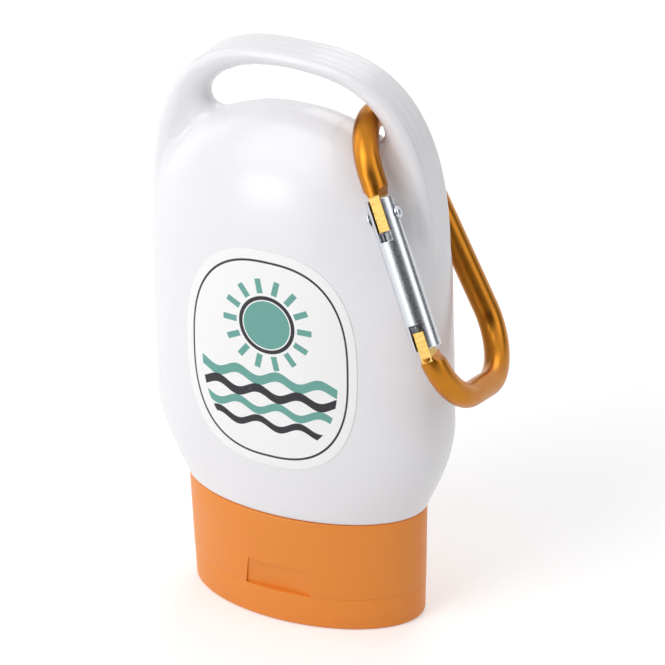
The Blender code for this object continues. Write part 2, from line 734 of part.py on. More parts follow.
def make_gate(silver, gate_pivot):
    tube = rod_along(0, GATE_RADIUS, -GATE_TOP_RISE, GATE_FOOT_DROP, SMALL_SIDES)
    gate = new_object("gate_tube", tube)
    half_slot = GATE_SLOT_WIDTH / 2
    wide = GATE_RADIUS + OVERRUN
    top_slot = block((-GATE_TOP_RISE - OVERRUN, -wide, -half_slot),
                     (GATE_TOP_SLOT_DROP, wide, half_slot))
    foot_slot = block((GATE_FOOT_SLOT_DROP, -wide, -half_slot),
                      (GATE_FOOT_DROP + OVERRUN, GATE_RADIUS - GATE_STOP_WALL, half_slot))
    bore = rod_along(0, GATE_BORE_RADIUS, -GATE_TOP_RISE - OVERRUN, GATE_BORE_DROP, SMALL_SIDES)
    rivet_hole = rod_along(2, RIVET_RADIUS + RIVET_CLEARANCE, -wide, wide, SMALL_SIDES)
    combined(gate, "DIFFERENCE", bore, top_slot, foot_slot, rivet_hole)
    bm = bmesh.new()
    bm.from_mesh(gate.data)
    bpy.data.objects.remove(gate)
    smooth(hook_piece("hook_gate", bm, gate_pivot, Vector((0, 0, 0)), silver))


def make_rivet(silver, swing):
    inner = GATE_RADIUS + RIVET_CLEARANCE
    outer = inner + RIVET_HEAD_HEIGHT
    dome = RIVET_HEAD_RADIUS - RIVET_HEAD_HEIGHT / 2
    half = [(RIVET_RADIUS, inner), (RIVET_HEAD_RADIUS, inner),
            (RIVET_HEAD_RADIUS, (inner + outer) / 2), (dome, outer), (0, outer)]
    profile = [(radius, -height) for radius, height in reversed(half)] + half
    bm = turned(profile, SMALL_SIDES)
    smooth(hook_piece("gate_rivet", bm, swing, swing_point(), silver))


def plunger_start():
    return TOP_TONGUE_DROP + FIT_GAP


def make_plunger(steel, gate_pivot):
    start = plunger_start()
    bm = rod_along(0, PLUNGER_RADIUS, start, start + PLUNGER_LENGTH, SMALL_SIDES)
    slide = pivot("plunger_slide", gate_pivot, Matrix.Translation((start, 0, 0)))
    smooth(hook_piece("gate_plunger", bm, slide, Vector((start, 0, 0)), steel))


def make_spring(steel, gate_pivot):
    """A compression spring between the plunger and the floor of the gate's bore."""
    first = plunger_start() + PLUNGER_LENGTH + FIT_GAP + SPRING_WIRE_RADIUS
    last = GATE_BORE_DROP - FIT_GAP - SPRING_WIRE_RADIUS
    curve = bpy.data.curves.new("gate_spring", "CURVE")
    curve.dimensions = "3D"
    curve.bevel_depth = SPRING_WIRE_RADIUS
    curve.bevel_resolution = 1
    curve.use_fill_caps = True
    line = curve.splines.new("POLY")
    count = SPRING_TURNS * SPRING_STEPS + 1
    line.points.add(count - 1)
    for i, point in enumerate(line.points):
        turn = math.tau * i / SPRING_STEPS
        along = first + (last - first) * i / (count - 1)
        point.co = (along, SPRING_RADIUS * math.cos(turn), SPRING_RADIUS * math.sin(turn), 1)
    spring = bpy.data.objects.new("gate_spring", curve)
    bpy.context.collection.objects.link(spring)
    spring.parent = gate_pivot
    curve.materials.append(steel)


def main():
    for obj in list(bpy.data.objects):
        bpy.data.objects.remove(obj)
    white = plastic_or_metal("white bottle plastic", (0.86, 0.85, 0.89), 0.28)
    paper = plastic_or_metal("white label film", (0.95, 0.95, 0.95), 0.35)
    orange = plastic_or_metal("orange closure plastic", (0.83, 0.31, 0.075), 0.38)
    gold = plastic_or_metal("gold anodised rod", (0.62, 0.28, 0.05), 0.28, 1.0)
    silver = plastic_or_metal("bright aluminium", (0.72, 0.74, 0.78), 0.25, 1.0)
    steel = plastic_or_metal("spring steel", (0.45, 0.46, 0.48), 0.3, 1.0)
    make_body(white)
    make_label(paper)
    make_closure(orange)
    make_lid(orange)
    make_hinge(orange)
    frame = hook_frame()
    swing = pivot("hook_swing", None, frame @ Matrix.Translation(swing_point()))
    gate_pivot = pivot("gate_pivot", swing, Matrix.Translation(-swing_point()))
    make_hook_frame(gold, swing)
    make_gate(silver, gate_pivot)
    make_rivet(silver, swing)
    make_plunger(steel, gate_pivot)
    make_spring(steel, gate_pivot)


main()
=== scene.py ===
import json
import math

import bmesh
import bpy
import numpy as np
from bpy.props import FloatProperty, FloatVectorProperty, IntProperty, PointerProperty
from mathutils import Matrix, Vector


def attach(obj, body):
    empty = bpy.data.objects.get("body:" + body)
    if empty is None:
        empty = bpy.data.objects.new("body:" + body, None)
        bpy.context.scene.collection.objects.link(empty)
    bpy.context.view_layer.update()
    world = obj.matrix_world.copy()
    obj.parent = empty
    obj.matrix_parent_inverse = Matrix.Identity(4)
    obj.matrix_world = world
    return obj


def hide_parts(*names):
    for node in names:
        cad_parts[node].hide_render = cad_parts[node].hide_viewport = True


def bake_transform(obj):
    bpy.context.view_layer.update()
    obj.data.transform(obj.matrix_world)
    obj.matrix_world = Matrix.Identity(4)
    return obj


bl_info = {
    "name": "Pocket Sunscreen Bottle",
    "version": (1, 0, 0),
    "blender": (4, 5, 0),
    "location": "3D View > Sidebar > Bottle",
    "description": "Finished surfaces of a pocket bottle with a flip-top closure and a snap hook",
    "category": "Add Mesh",
}

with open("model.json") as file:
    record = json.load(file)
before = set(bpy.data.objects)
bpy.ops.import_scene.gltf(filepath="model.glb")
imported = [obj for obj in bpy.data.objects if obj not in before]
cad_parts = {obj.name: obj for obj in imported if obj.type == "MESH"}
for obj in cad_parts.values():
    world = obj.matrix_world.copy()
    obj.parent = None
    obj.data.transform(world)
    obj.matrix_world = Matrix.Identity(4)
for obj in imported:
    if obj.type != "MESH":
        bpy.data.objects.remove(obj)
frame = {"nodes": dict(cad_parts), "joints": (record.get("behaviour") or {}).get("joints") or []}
JOINTS = {joint["name"]: joint for joint in frame["joints"]}
PHOTO_SIDE = 665

# Smallest values that divisors and bases of powers are held to
TINY = 1e-9
LEAST_SLOPE = 1e-6

# A dome's last ring lies at this share of its height, so that it keeps some width
DOME_SHARE = 0.9999

# A fillet's reach is a divisor, so it never falls below this share
LEAST_FILLET_SHARE = 0.02


# Kinds of setting

def length(name, description, default):
    return FloatProperty(name=name, description=description, default=default,
                         unit="LENGTH", precision=5)


def angle(name, description, degrees):
    return FloatProperty(name=name, description=description, default=math.radians(degrees),
                         subtype="ANGLE")


def number(name, description, default):
    return FloatProperty(name=name, description=description, default=default, precision=4)


def count(name, description, default):
    return IntProperty(name=name, description=description, default=default, min=1)


def colour(name, description, default):
    return FloatVectorProperty(name=name, description=description, default=default, size=3,
                               subtype="COLOR", min=0, max=1)


class BottleSettings(bpy.types.PropertyGroup):
    """Sizes and colour of the moulded bottle with its carrying loop"""
    foot_half_width: length("Foot Half Width", "Half width where the bottle meets the closure", 0.0200)
    foot_half_depth: length("Foot Half Depth", "Half depth where the bottle meets the closure", 0.0113)
    foot_power: number("Foot Power", "Superellipse power of the foot", 1.97)
    foot_height: length("Foot Height", "Height of the bottle's flat foot", 0.01888)
    foot_edge: length("Foot Edge", "Radius of the edge round the foot", 0.0007)
    flare_start: length("Flare Start", "Height where the flare begins", 0.0190)
    flare_height: length("Flare Height", "Height of the flare from foot to full width", 0.0145)
    half_width: length("Half Width", "Half width of the body", 0.0245)
    half_depth: length("Half Depth", "Half depth of the body", 0.0119)
    power: number("Power", "Superellipse power of the body", 2.4)
    taper_start: length("Taper Start", "Height from which the depth falls off", 0.0400)
    taper_power: number("Taper Power", "Power of the fall in depth", 2.3)
    shoulder_height: length("Shoulder Height", "Height where the shoulder begins", 0.0600)
    shoulder_power: number("Shoulder Power", "Power of the shoulder's arch", 2.12)
    top: length("Top", "Height of the shoulder's crest", 0.0839)
    wall: length("Wall", "Wall thickness", 0.0011)
    neck_radius: length("Neck Radius", "Outer radius of the neck", 0.0075)
    neck_bore: length("Neck Bore", "Radius of the neck's bore", 0.0063)
    neck_tip: length("Neck Tip", "Height of the neck's mouth", 0.00755)
    neck_root: length("Neck Root", "Bevel where the neck meets the foot", 0.0005)
    mouth_edge: length("Mouth Edge", "Bevel round the neck's mouth", 0.0003)
    bead_height: length("Bead Height", "How far the snap bead stands out", 0.0004)
    bead_crest: length("Bead Crest", "Half length of the bead's crest", 0.0001)
    bead_half_length: length("Bead Half Length", "Half length of the bead at its root", 0.0005)
    bead_setback: length("Bead Setback", "Distance of the bead from the mouth", 0.0026)
    loop_half_width: length("Loop Half Width", "Half width of the carrying loop", 0.0240)
    loop_rise: length("Loop Rise", "Height of the loop above the shoulder", 0.0337)
    loop_power: number("Loop Power", "Superellipse power of the loop's outline", 2.8)
    loop_depth: length("Loop Depth", "Width of the loop's band, front to back", 0.0070)
    loop_top_thickness: length("Loop Top Thickness", "Thickness of the band at its top", 0.0027)
    loop_leg_thickness: length("Loop Leg Thickness", "Thickness of the band's legs", 0.0048)
    loop_swell_power: number("Loop Swell Power", "Power of the swell from top to leg", 0.7)
    loop_foot_rise: length("Loop Foot Rise", "Height of the legs' feet above the shoulder", 0.0025)
    loop_edge: length("Loop Edge", "Radius of the band's outer edges", 0.0011)
    loop_inner_edge: length("Loop Inner Edge", "Reach of the soft inner edges", 0.0026)
    loop_inner_power: number("Loop Inner Power", "Power of the inner edges: 1 flat, 2 round", 1.5)
    opening_end_radius: length("Opening End Radius", "Radius of the opening's round ends", 0.0022)
    web_recess: length("Web Recess", "How far the webs lie behind the band's faces", 0.0010)
    web_ease: length("Web Ease", "Length in which the webs' recess grows from the opening's end", 0.0030)
    groove_width: length("Groove Width", "Width of each groove along the band", 0.0008)
    groove_depth: length("Groove Depth", "Depth of each groove at the top", 0.00007)
    groove_pitch: length("Groove Pitch", "Distance between grooves", 0.0016)
    fillet: length("Fillet", "Reach of the soft fillet between loop and body", 0.0028)
    fillet_rise: length("Fillet Rise", "Height in which the fillet grows from the legs' feet", 0.0075)
    inner_fillet: length("Inner Fillet", "Reach of the fillet between band and web", 0.0016)
    soft_reach: length("Soft Reach", "Distance round the opening's ends that is smoothed", 0.0055)
    soft_rounds: count("Soft Rounds", "Rounds of smoothing round the opening's ends", 45)
    grain: length("Grain", "Spacing of the mesh on shoulder and loop", 0.00034)
    plastic: colour("Plastic", "Colour of the white plastic", (0.87, 0.86, 0.89))
    roughness: number("Roughness", "Roughness of the white plastic", 0.24)


class LabelSettings(bpy.types.PropertyGroup):
    """Sizes and colours of the front label"""
    half_width: length("Half Width", "Half width of the label", 0.0145)
    half_height: length("Half Height", "Half height of the label", 0.0180)
    height: length("Height", "Height of the label's centre", 0.0462)
    power: number("Power", "Superellipse power of the outline", 2.6)
    lift: length("Lift", "Gap under the film", 0.00002)
    thickness: length("Thickness", "Thickness of the film", 0.00010)
    sides: count("Sides", "Sides of the label's outline", 160)
    paper: colour("Paper", "Colour of the film", (0.95, 0.95, 0.95))
    light_ink: colour("Light Ink", "Colour of the sun and every second wave", (0.135, 0.381, 0.332))
    dark_ink: colour("Dark Ink", "Colour of the other waves and both lines", (0.010, 0.010, 0.016))


class ClosureSettings(bpy.types.PropertyGroup):
    """Sizes and colour of the closure, its lid and its living hinge"""
    half_width: length("Half Width", "Half width at the top of the closure", 0.0200)
    half_depth: length("Half Depth", "Half depth at the top of the closure", 0.0113)
    height: length("Height", "Height of the closure with its lid", 0.0187)
    reach: length("Reach", "How far the rim comes up to the bottle's foot", 0.00016)
    foot_share: number("Foot Share", "Size at the foot as a share of the top", 0.972)
    power: number("Power", "Superellipse power of the outline", 1.97)
    wall: length("Wall", "Wall of the closure", 0.0014)
    seam: length("Seam", "Height of the seam between lid and closure", 0.0055)
    seam_gap: length("Seam Gap", "Gap between lid and closure", 0.00002)
    edge: length("Edge", "Radius of the closure's edges", 0.00022)
    seam_edge: length("Seam Edge", "Radius of the edges at the seam", 0.00005)
    deck_top: length("Deck Top", "Height of the deck's upper face", 0.00695)
    core_floor: length("Core Floor", "Height of the floor inside the neck sleeve", 0.00725)
    sleeve_radius: length("Sleeve Radius", "Inner radius of the neck sleeve", 0.0078)
    sleeve_wall: length("Sleeve Wall", "Wall of the neck sleeve", 0.0010)
    sleeve_depth: length("Sleeve Depth", "Length of the neck sleeve", 0.0085)
    groove_half_length: length("Groove Half Length", "Half length of the bead's groove", 0.0008)
    plug_radius: length("Plug Radius", "Outer radius of the bore plug", 0.0060)
    plug_wall: length("Plug Wall", "Wall of the bore plug", 0.0008)
    plug_length: length("Plug Length", "Length of the bore plug", 0.0024)
    spout_radius: length("Spout Radius", "Outer radius of the spout", 0.0035)
    spout_bore: length("Spout Bore", "Radius of the spout's bore", 0.0023)
    spout_tip: length("Spout Tip", "Height of the spout's tip", 0.00405)
    recess_foot_width: length("Recess Foot Width", "Width of the thumb recess at the seam", 0.0116)
    recess_top_width: length("Recess Top Width", "Width of the thumb recess at its top", 0.0100)
    recess_height: length("Recess Height", "Height of the thumb recess", 0.0046)
    recess_foot_depth: length("Recess Foot Depth", "Depth of the recess at the seam", 0.0010)
    recess_top_depth: length("Recess Top Depth", "Depth of the recess at its top", 0.0004)
    recess_edge: length("Recess Edge", "Bevel round the thumb recess", 0.00020)
    lid_inset: length("Lid Inset", "How far the lid lies inside the closure's outline", 0.00005)
    lid_wall: length("Lid Wall", "Wall of the lid", 0.0012)
    lid_plate: length("Lid Plate", "Thickness of the lid's plate", 0.0012)
    lid_edge: length("Lid Edge", "Radius of the lid's lower edge", 0.0006)
    pin_radius: length("Pin Radius", "Radius of the sealing pin", 0.0020)
    pin_tip: length("Pin Tip", "Height of the sealing pin's tip", 0.00525)
    film_width: length("Film Width", "Width of the hinge film", 0.0070)
    film_height: length("Film Height", "Height of the hinge film", 0.0018)
    band_width: length("Band Width", "Width of each snap band", 0.0022)
    band_height: length("Band Height", "Height of each snap band", 0.0030)
    band_offset: length("Band Offset", "Distance of the snap bands from the middle", 0.0072)
    film_thickness: length("Film Thickness", "Thickness of hinge film and bands", 0.00035)
    fold_share: number("Fold Share", "Thickness of the film at its fold, as a share", 0.55)
    sides: count("Sides", "Sides of the closure and its lid", 192)
    plastic: colour("Plastic", "Colour of the orange plastic", (0.84, 0.265, 0.030))
    roughness: number("Roughness", "Roughness of the orange plastic", 0.42)


class HookSettings(bpy.types.PropertyGroup):
    """Sizes and colours of the snap hook, in its own frame: s down the gate, t to the spine"""
    rod_radius: length("Rod Radius", "Radius of the bent rod", 0.00195)
    top_bend_radius: length("Top Bend Radius", "Radius of the top bend", 0.0086)
    top_bend_rise: length("Top Bend Rise", "Height of the top bend's centre over the rivet", 0.0063)
    nose_bend_radius: length("Nose Bend Radius", "Radius of the nose bend", 0.0094)
    nose_bend_drop: length("Nose Bend Drop", "Drop of the nose bend's centre", 0.0200)
    spine_bend_radius: length("Spine Bend Radius", "Radius of the bend at the spine's foot", 0.0087)
    spine_bend_drop: length("Spine Bend Drop", "Drop of that bend's centre", 0.0203)
    spine_bend_offset: length("Spine Bend Offset", "Distance of that centre from the gate", 0.01575)
    tongue_thickness: length("Tongue Thickness", "Thickness of the milled tongues", 0.0017)
    tongue_outside: length("Tongue Outside", "Reach of the tongues away from the spine", 0.00165)
    tongue_inside: length("Tongue Inside", "Reach of the tongues towards the spine", 0.0013)
    nose_inside: length("Nose Inside", "Reach of the nose's tongue towards the spine", 0.0009)
    top_root: length("Top Root", "Rise of the top tongue's root over the rivet", 0.0030)
    top_tip: length("Top Tip", "Drop of the top tongue's tip", 0.0022)
    nose_root: length("Nose Root", "Drop of the nose tongue's root", 0.0216)
    nose_tip: length("Nose Tip", "Drop of the nose tongue's tip", 0.0179)
    cutter_radius: length("Cutter Radius", "Radius that the cutter left at each root", 0.0013)
    gate_radius: length("Gate Radius", "Radius of the gate tube", 0.0022)
    gate_rise: length("Gate Rise", "Rise of the gate's top over the rivet", 0.0027)
    gate_drop: length("Gate Drop", "Drop of the gate's foot", 0.0206)
    slot_width: length("Slot Width", "Width of the gate's slots", 0.0022)
    top_slot_drop: length("Top Slot Drop", "Depth of the upper slot under the rivet", 0.0037)
    foot_slot_drop: length("Foot Slot Drop", "Drop of the lower slot's upper end", 0.0167)
    stop_wall: length("Stop Wall", "Wall that stops the gate on the nose", 0.0008)
    bore_radius: length("Bore Radius", "Radius of the gate's bore", 0.0014)
    bore_drop: length("Bore Drop", "Drop of the bore's floor", 0.0136)
    edge: length("Edge", "Bevel of the milled edges", 0.00008)
    rivet_radius: length("Rivet Radius", "Radius of the rivet's shank", 0.0006)
    rivet_head_radius: length("Rivet Head Radius", "Radius of the rivet's heads", 0.00105)
    rivet_gap: length("Rivet Gap", "Gap under the rivet's heads", 0.00005)
    rivet_head_height: length("Rivet Head Height", "Height of the rivet's heads", 0.0006)
    sides: count("Sides", "Sides of the round rod and the rivet", 40)
    gate_sides: count("Gate Sides", "Sides of the gate tube", 96)
    bore_sides: count("Bore Sides", "Sides of the gate's bore", 48)
    anodising: colour("Anodising", "Colour of the gold anodised rod", (0.50, 0.19, 0.020))
    # The milled faces are anodised gold like the rod; their lighter colour is painted light, standing in
    # for the lamps that fall on the flat faces
    milled: colour("Milled", "Colour of the milled faces", (0.86, 0.54, 0.17))
    aluminium: colour("Aluminium", "Colour of the gate and its rivet", (0.64, 0.66, 0.70))
    steel: colour("Steel", "Colour of spring and plunger", (0.45, 0.46, 0.48))


class StageSettings(bpy.types.PropertyGroup):
    """Camera, floor and studio light"""
    azimuth: angle("Azimuth", "Angle of the camera round the bottle", 28.1)
    elevation: angle("Elevation", "Angle of the camera above the floor", 28.15)
    roll: angle("Roll", "Roll of the camera", 1.41)
    distance: length("Distance", "Distance of the camera from its target", 0.850)
    target_right: length("Target Right", "X of the camera's target", 0.00498)
    target_height: length("Target Height", "Height of the camera's target", 0.04655)
    pixel: length("Pixel", "Real size of a photograph pixel at the target", 0.001 / 6.566)
    sky: number("Sky", "Level of the diffuse light from all round", 0.42)
    floor: colour("Floor", "Colour of the pale floor", (0.80, 0.80, 0.80))
    flag: colour("Flag", "Colour of the dark cards that only reflections show", (0.03, 0.032, 0.04))


SETTINGS = {"bottle": BottleSettings, "label": LabelSettings, "closure": ClosureSettings,
            "hook": HookSettings, "studio": StageSettings}


def settings(name):
    return getattr(bpy.context.scene, "pocket_" + name)


# Mesh helpers

def signed_power(value, power):
    return math.copysign(abs(value) ** power, value)


def oval_ring(half_width, half_depth, power, height):
    """A level superellipse, as a function from a turn to its point."""
    def place(turn):
        return Vector((half_width * signed_power(math.cos(turn), 2 / power),
                       half_depth * signed_power(math.sin(turn), 2 / power), height))
    return place


def circle_ring(radius, height):
    return oval_ring(radius, radius, 2.0, height)


def extruded(bm, edges, layer, rings):
    """Extrude a ring of edges through each ring in turn and return the last ring's edges."""
    for place in rings:
        grown = bmesh.ops.extrude_edge_only(bm, edges=edges)["geom"]
        for vert in grown:
            if isinstance(vert, bmesh.types.BMVert):
                vert.co = place(vert[layer])
        edges = [edge for edge in grown if isinstance(edge, bmesh.types.BMEdge) and edge.is_boundary]
    return edges


def lofted(rings, sides, closed=False):
    """A closed skin through rings, with its two ends capped or joined to each other."""
    bm = bmesh.new()
    layer = bm.verts.layers.float.new("turn")
    bmesh.ops.create_circle(bm, cap_ends=not closed, radius=1, segments=sides)
    for vert in bm.verts:
        vert[layer] = math.atan2(vert.co.y, vert.co.x)
        vert.co = rings[0](vert[layer])
    first = bm.edges[:]
    last = extruded(bm, first, layer, rings[1:])
    if closed:
        bmesh.ops.bridge_loops(bm, edges=first + last)
    else:
        bmesh.ops.edgeloop_fill(bm, edges=last)
    return faced_out(bm)


def faced_out(bm):
    bmesh.ops.recalc_face_normals(bm, faces=bm.faces)
    if bm.calc_volume(signed=True) < 0:
        bmesh.ops.reverse_faces(bm, faces=bm.faces)
    return bm


def boxed(low, high):
    """A block between two corners."""
    bm = bmesh.new()
    low, high = Vector(low), Vector(high)
    bmesh.ops.create_cube(bm, size=1, matrix=Matrix.Translation((low + high) / 2)
                          @ Matrix.Diagonal((*(high - low), 1)))
    return bm


def prism(outline, extrusion):
    """An outline of points pushed along a vector into a solid."""
    bm = bmesh.new()
    face = bm.faces.new([bm.verts.new(point) for point in outline])
    pushed = bmesh.ops.extrude_face_region(bm, geom=[face])["geom"]
    bmesh.ops.translate(bm, vec=extrusion,
                        verts=[v for v in pushed if isinstance(v, bmesh.types.BMVert)])
    return faced_out(bm)


def meshed(name, bm):
    """A mesh with the shape of a bmesh, which is freed."""
    mesh = bpy.data.meshes.new(name)
    bm.to_mesh(mesh)
    bm.free()
    return mesh


def linked(name, data):
    """An object for a mesh, lamp or camera, linked to the scene."""
    obj = bpy.data.objects.new(name, data)
    bpy.context.scene.collection.objects.link(obj)
    return obj


def workpiece(name, bm):
    """An object with two empty material slots, for a modifier to work on."""
    mesh = meshed(name, bm)
    mesh.materials.append(None)
    mesh.materials.append(None)
    return linked(name, mesh)


def modified(bm, kind, **options):
    """The shape of a bmesh, which is freed, after one modifier."""
    host = workpiece("host", bm)
    change = host.modifiers.new("change", kind)
    for name, value in options.items():
        setattr(change, name, value)
    evaluated = host.evaluated_get(bpy.context.evaluated_depsgraph_get())
    mesh = evaluated.to_mesh()
    result = bmesh.new()
    result.from_mesh(mesh)
    evaluated.to_mesh_clear()
    bpy.data.objects.remove(host)
    return result


def combined(bm, operation, *tools, finish=0):
    """Exact booleans with each tool in turn; finish is the material index of the new faces."""
    for tool in tools:
        for face in tool.faces:
            face.material_index = finish
        other = workpiece("tool", tool)
        bm = modified(bm, "BOOLEAN", operation=operation, solver="EXACT", object=other)
        bpy.data.objects.remove(other)
    return bm


def smoothed(bm, verts, rounds=1):
    for _ in range(rounds):
        bmesh.ops.smooth_vert(bm, verts=verts, factor=0.5,
                              use_axis_x=True, use_axis_y=True, use_axis_z=True)


def bevelled(bm, edges, width):
    bmesh.ops.bevel(bm, geom=edges, offset=width, offset_type="OFFSET", segments=2,
                    profile=0.5, affect="EDGES", clamp_overlap=True, material=-1)
    return bm


def sharp_edges(bm, smallest_angle):
    return [edge for edge in bm.edges
            if len(edge.link_faces) == 2 and edge.calc_face_angle(0) > smallest_angle]


def added(name, bm, body, materials, replaced, sharp=math.radians(35)):
    """Finish a piece: smooth shading, materials, the body it rides on and what it replaces."""
    mesh = meshed(name, bm)
    for material in materials:
        mesh.materials.append(material)
    mesh.shade_smooth()
    mesh.set_sharp_from_angle(angle=sharp)
    obj = linked(name, mesh)
    if body:
        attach(obj, body)
    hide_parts(*replaced)
    return obj


# Material helpers

class Finish:
    """A Principled material with shorthand for its nodes."""

    def __init__(self, name, base, roughness, metallic=0.0):
        self.material = bpy.data.materials.new(name)
        self.material.use_nodes = True
        self.tree = self.material.node_tree
        self.shader = self.tree.nodes["Principled BSDF"]
        self.set("Base Color", (*base, 1.0))
        self.set("Roughness", roughness)
        self.set("Metallic", metallic)
        self.material.diffuse_color = (*base, 1.0)
        self.place = self.node("ShaderNodeTexCoord").outputs["Object"]

    def set(self, socket, value):
        self.shader.inputs[socket].default_value = value

    def feed(self, socket, value):
        """Link an output, or set a plain value."""
        if isinstance(value, bpy.types.NodeSocket):
            self.tree.links.new(value, socket)
        else:
            socket.default_value = value

    def node(self, kind, inputs=None, **options):
        made = self.tree.nodes.new(kind)
        for name, value in options.items():
            setattr(made, name, value)
        for key, value in (inputs or {}).items():
            self.feed(made.inputs[key], value)
        return made

    def math(self, operation, *values):
        inputs = dict(enumerate(values))
        return self.node("ShaderNodeMath", inputs, operation=operation).outputs[0]

    def noise(self, scale, place=None, detail=2.0):
        inputs = {"Vector": place or self.place, "Scale": scale, "Detail": detail}
        return self.node("ShaderNodeTexNoise", inputs).outputs["Fac"]

    def ramp(self, value, low, high, to_low=0.0, to_high=1.0):
        inputs = {"Value": value, "From Min": low, "From Max": high,
                  "To Min": to_low, "To Max": to_high}
        return self.node("ShaderNodeMapRange", inputs).outputs[0]

    def mix(self, factor, first, second):
        """Mix two colours; 0, 6 and 7 are the colour mix's factor, A and B sockets."""
        made = self.node("ShaderNodeMix", data_type="RGBA")
        for index, value in ((0, factor), (6, first), (7, second)):
            self.feed(made.inputs[index], value)
        return made.outputs[2]

    def bump(self, height, depth, under=None):
        inputs = {"Height": height, "Distance": depth, "Strength": 1.0}
        if under:
            inputs["Normal"] = under
        return self.node("ShaderNodeBump", inputs).outputs["Normal"]

    def wear(self, socket, value):
        self.feed(self.shader.inputs[socket], value)

    def wear_shades(self, factor, base, darkest, lightest):
        """A base colour that a factor takes from its darkest to its lightest shade."""
        shades = [(*(min(1.0, part * share) for part in base), 1.0)
                  for share in (darkest, lightest)]
        self.wear("Base Color", self.mix(factor, *shades))

    def wear_gloss(self, factor, smoothest, roughest, low=0.3, high=0.7):
        """A roughness that follows a noise between its usual low and high values."""
        self.wear("Roughness", self.ramp(factor, low, high, smoothest, roughest))


def moulded_plastic(name, base, roughness, grain_depth, mottle):
    """Moulded plastic with a fine mould grain and faint flow marks."""
    finish = Finish(name, base, roughness)
    flow = finish.noise(scale=45, detail=3)
    fine = finish.noise(scale=2600, detail=1)
    spread, flow_share = 0.03, 12
    finish.wear_shades(flow, base, 1 - mottle, 1 + mottle)
    finish.wear_gloss(finish.noise(scale=300), roughness - spread, roughness + spread)
    waves = finish.bump(flow, grain_depth * flow_share)
    finish.wear("Normal", finish.bump(fine, grain_depth, waves))
    return finish.material


def printed_film(look):
    """White film with a generic print: a rim line, a sun with rays and waves under it."""
    finish = Finish("Printed label film", look.paper, 0.34)
    axes = finish.node("ShaderNodeSeparateXYZ", {"Vector": finish.place}).outputs
    across, up = axes["X"], finish.math("SUBTRACT", axes["Z"], look.height)
    soft = 0.00004

    def inside(distance):
        """1 where a distance is below zero, with a soft edge."""
        return finish.ramp(distance, -soft, soft, 1.0, 0.0)

    def outline(share):
        """Distance-like value outside the label's outline drawn at a share of its size."""
        parts = [finish.math("POWER", finish.math("DIVIDE", finish.math("ABSOLUTE", value),
                                                  half * share), look.power)
                 for value, half in ((across, look.half_width), (up, look.half_height))]
        total = finish.math("POWER", finish.math("ADD", *parts), 1 / look.power)
        return finish.math("MULTIPLY", finish.math("SUBTRACT", total, 1.0), look.half_width)

    sun_height, sun_radius = look.half_height * 0.34, look.half_width * 0.27
    rays, ray_half = 14, look.half_width * 0.034
    ray_middle, ray_reach = sun_radius * 1.62, sun_radius * 0.30
    ring_middle, ring_half = sun_radius * 1.13, sun_radius * 0.08
    waves, first_wave, wave_pitch = 4, look.half_height * 0.16, look.half_height * 0.145
    wave_half, wave_thinning = look.half_height * 0.045, look.half_height * 0.004
    swell_height, swell_rate = look.half_height * 0.035, 900.0
    field_share, rim_outside_share, rim_inside_share = 0.80, 0.915, 0.895

    sun_up = finish.math("SUBTRACT", up, sun_height)
    squares = [finish.math("MULTIPLY", value, value) for value in (across, sun_up)]
    reach = finish.math("SQRT", finish.math("ADD", *squares))
    disc = inside(finish.math("SUBTRACT", reach, sun_radius))
    turn = finish.math("ARCTAN2", sun_up, across)
    slice_turn = finish.math("PINGPONG", turn, math.pi / rays)
    beside = finish.math("MULTIPLY", finish.math("SINE", slice_turn), reach)

    def belt(middle, half):
        """1 within a belt round the sun."""
        off = finish.math("ABSOLUTE", finish.math("SUBTRACT", reach, middle))
        return inside(finish.math("SUBTRACT", off, half))

    beam = finish.math("MULTIPLY", inside(finish.math("SUBTRACT", beside, ray_half)),
                       belt(ray_middle, ray_reach))
    rim = finish.math("SUBTRACT", inside(outline(rim_outside_share)),
                      inside(outline(rim_inside_share)))
    inks = [finish.math("MAXIMUM", disc, beam),
            finish.math("MAXIMUM", rim, belt(ring_middle, ring_half))]
    field = inside(outline(field_share))
    swell = finish.math("SINE", finish.math("MULTIPLY", across, swell_rate))
    swell = finish.math("MULTIPLY", swell, swell_height)
    for step in range(waves):
        middle = finish.math("ADD", up, first_wave + wave_pitch * step)
        middle = finish.math("SUBTRACT", middle, finish.math("MULTIPLY", swell, (-1.0) ** step))
        off = finish.math("ABSOLUTE", middle)
        wave = inside(finish.math("SUBTRACT", off, wave_half - wave_thinning * step))
        inks[step % 2] = finish.math("MAXIMUM", inks[step % 2],
                                     finish.math("MULTIPLY", wave, field))
    worn = finish.ramp(finish.noise(scale=2200, detail=3), low=0.25, high=0.35,
                       to_low=0.9, to_high=1.0)
    print_colour = (*look.paper, 1.0)
    for ink, shade in zip(inks, (look.light_ink, look.dark_ink)):
        print_colour = finish.mix(finish.math("MULTIPLY", ink, worn), print_colour, (*shade, 1.0))
    finish.wear("Base Color", print_colour)
    finish.wear("Normal", finish.bump(finish.noise(scale=900), depth=0.000004))
    return finish.material


def hook_place(finish):
    """Object coordinates turned into the hook's own frame."""
    turn = hook_space().to_3x3().transposed().to_euler()
    return finish.node("ShaderNodeMapping", {"Vector": finish.place, "Rotation": turn}).outputs[0]


def anodised(look):
    finish = Finish("Gold anodised rod", look.anodising, 0.33, 1.0)
    finish.wear_shades(finish.noise(scale=420, detail=3), look.anodising, 0.90, 1.12)
    finish.wear_gloss(finish.noise(scale=1500), smoothest=0.30, roughest=0.36)
    finish.wear("Normal", finish.bump(finish.noise(scale=3000), depth=0.0000004))
    return finish.material


def stretched_noise(finish, place, scales):
    """A noise with its own scale along each of the hook's axes."""
    squeezed = finish.node("ShaderNodeMapping", {"Vector": place, "Scale": scales})
    return finish.noise(scale=1.0, place=squeezed.outputs[0], detail=3)


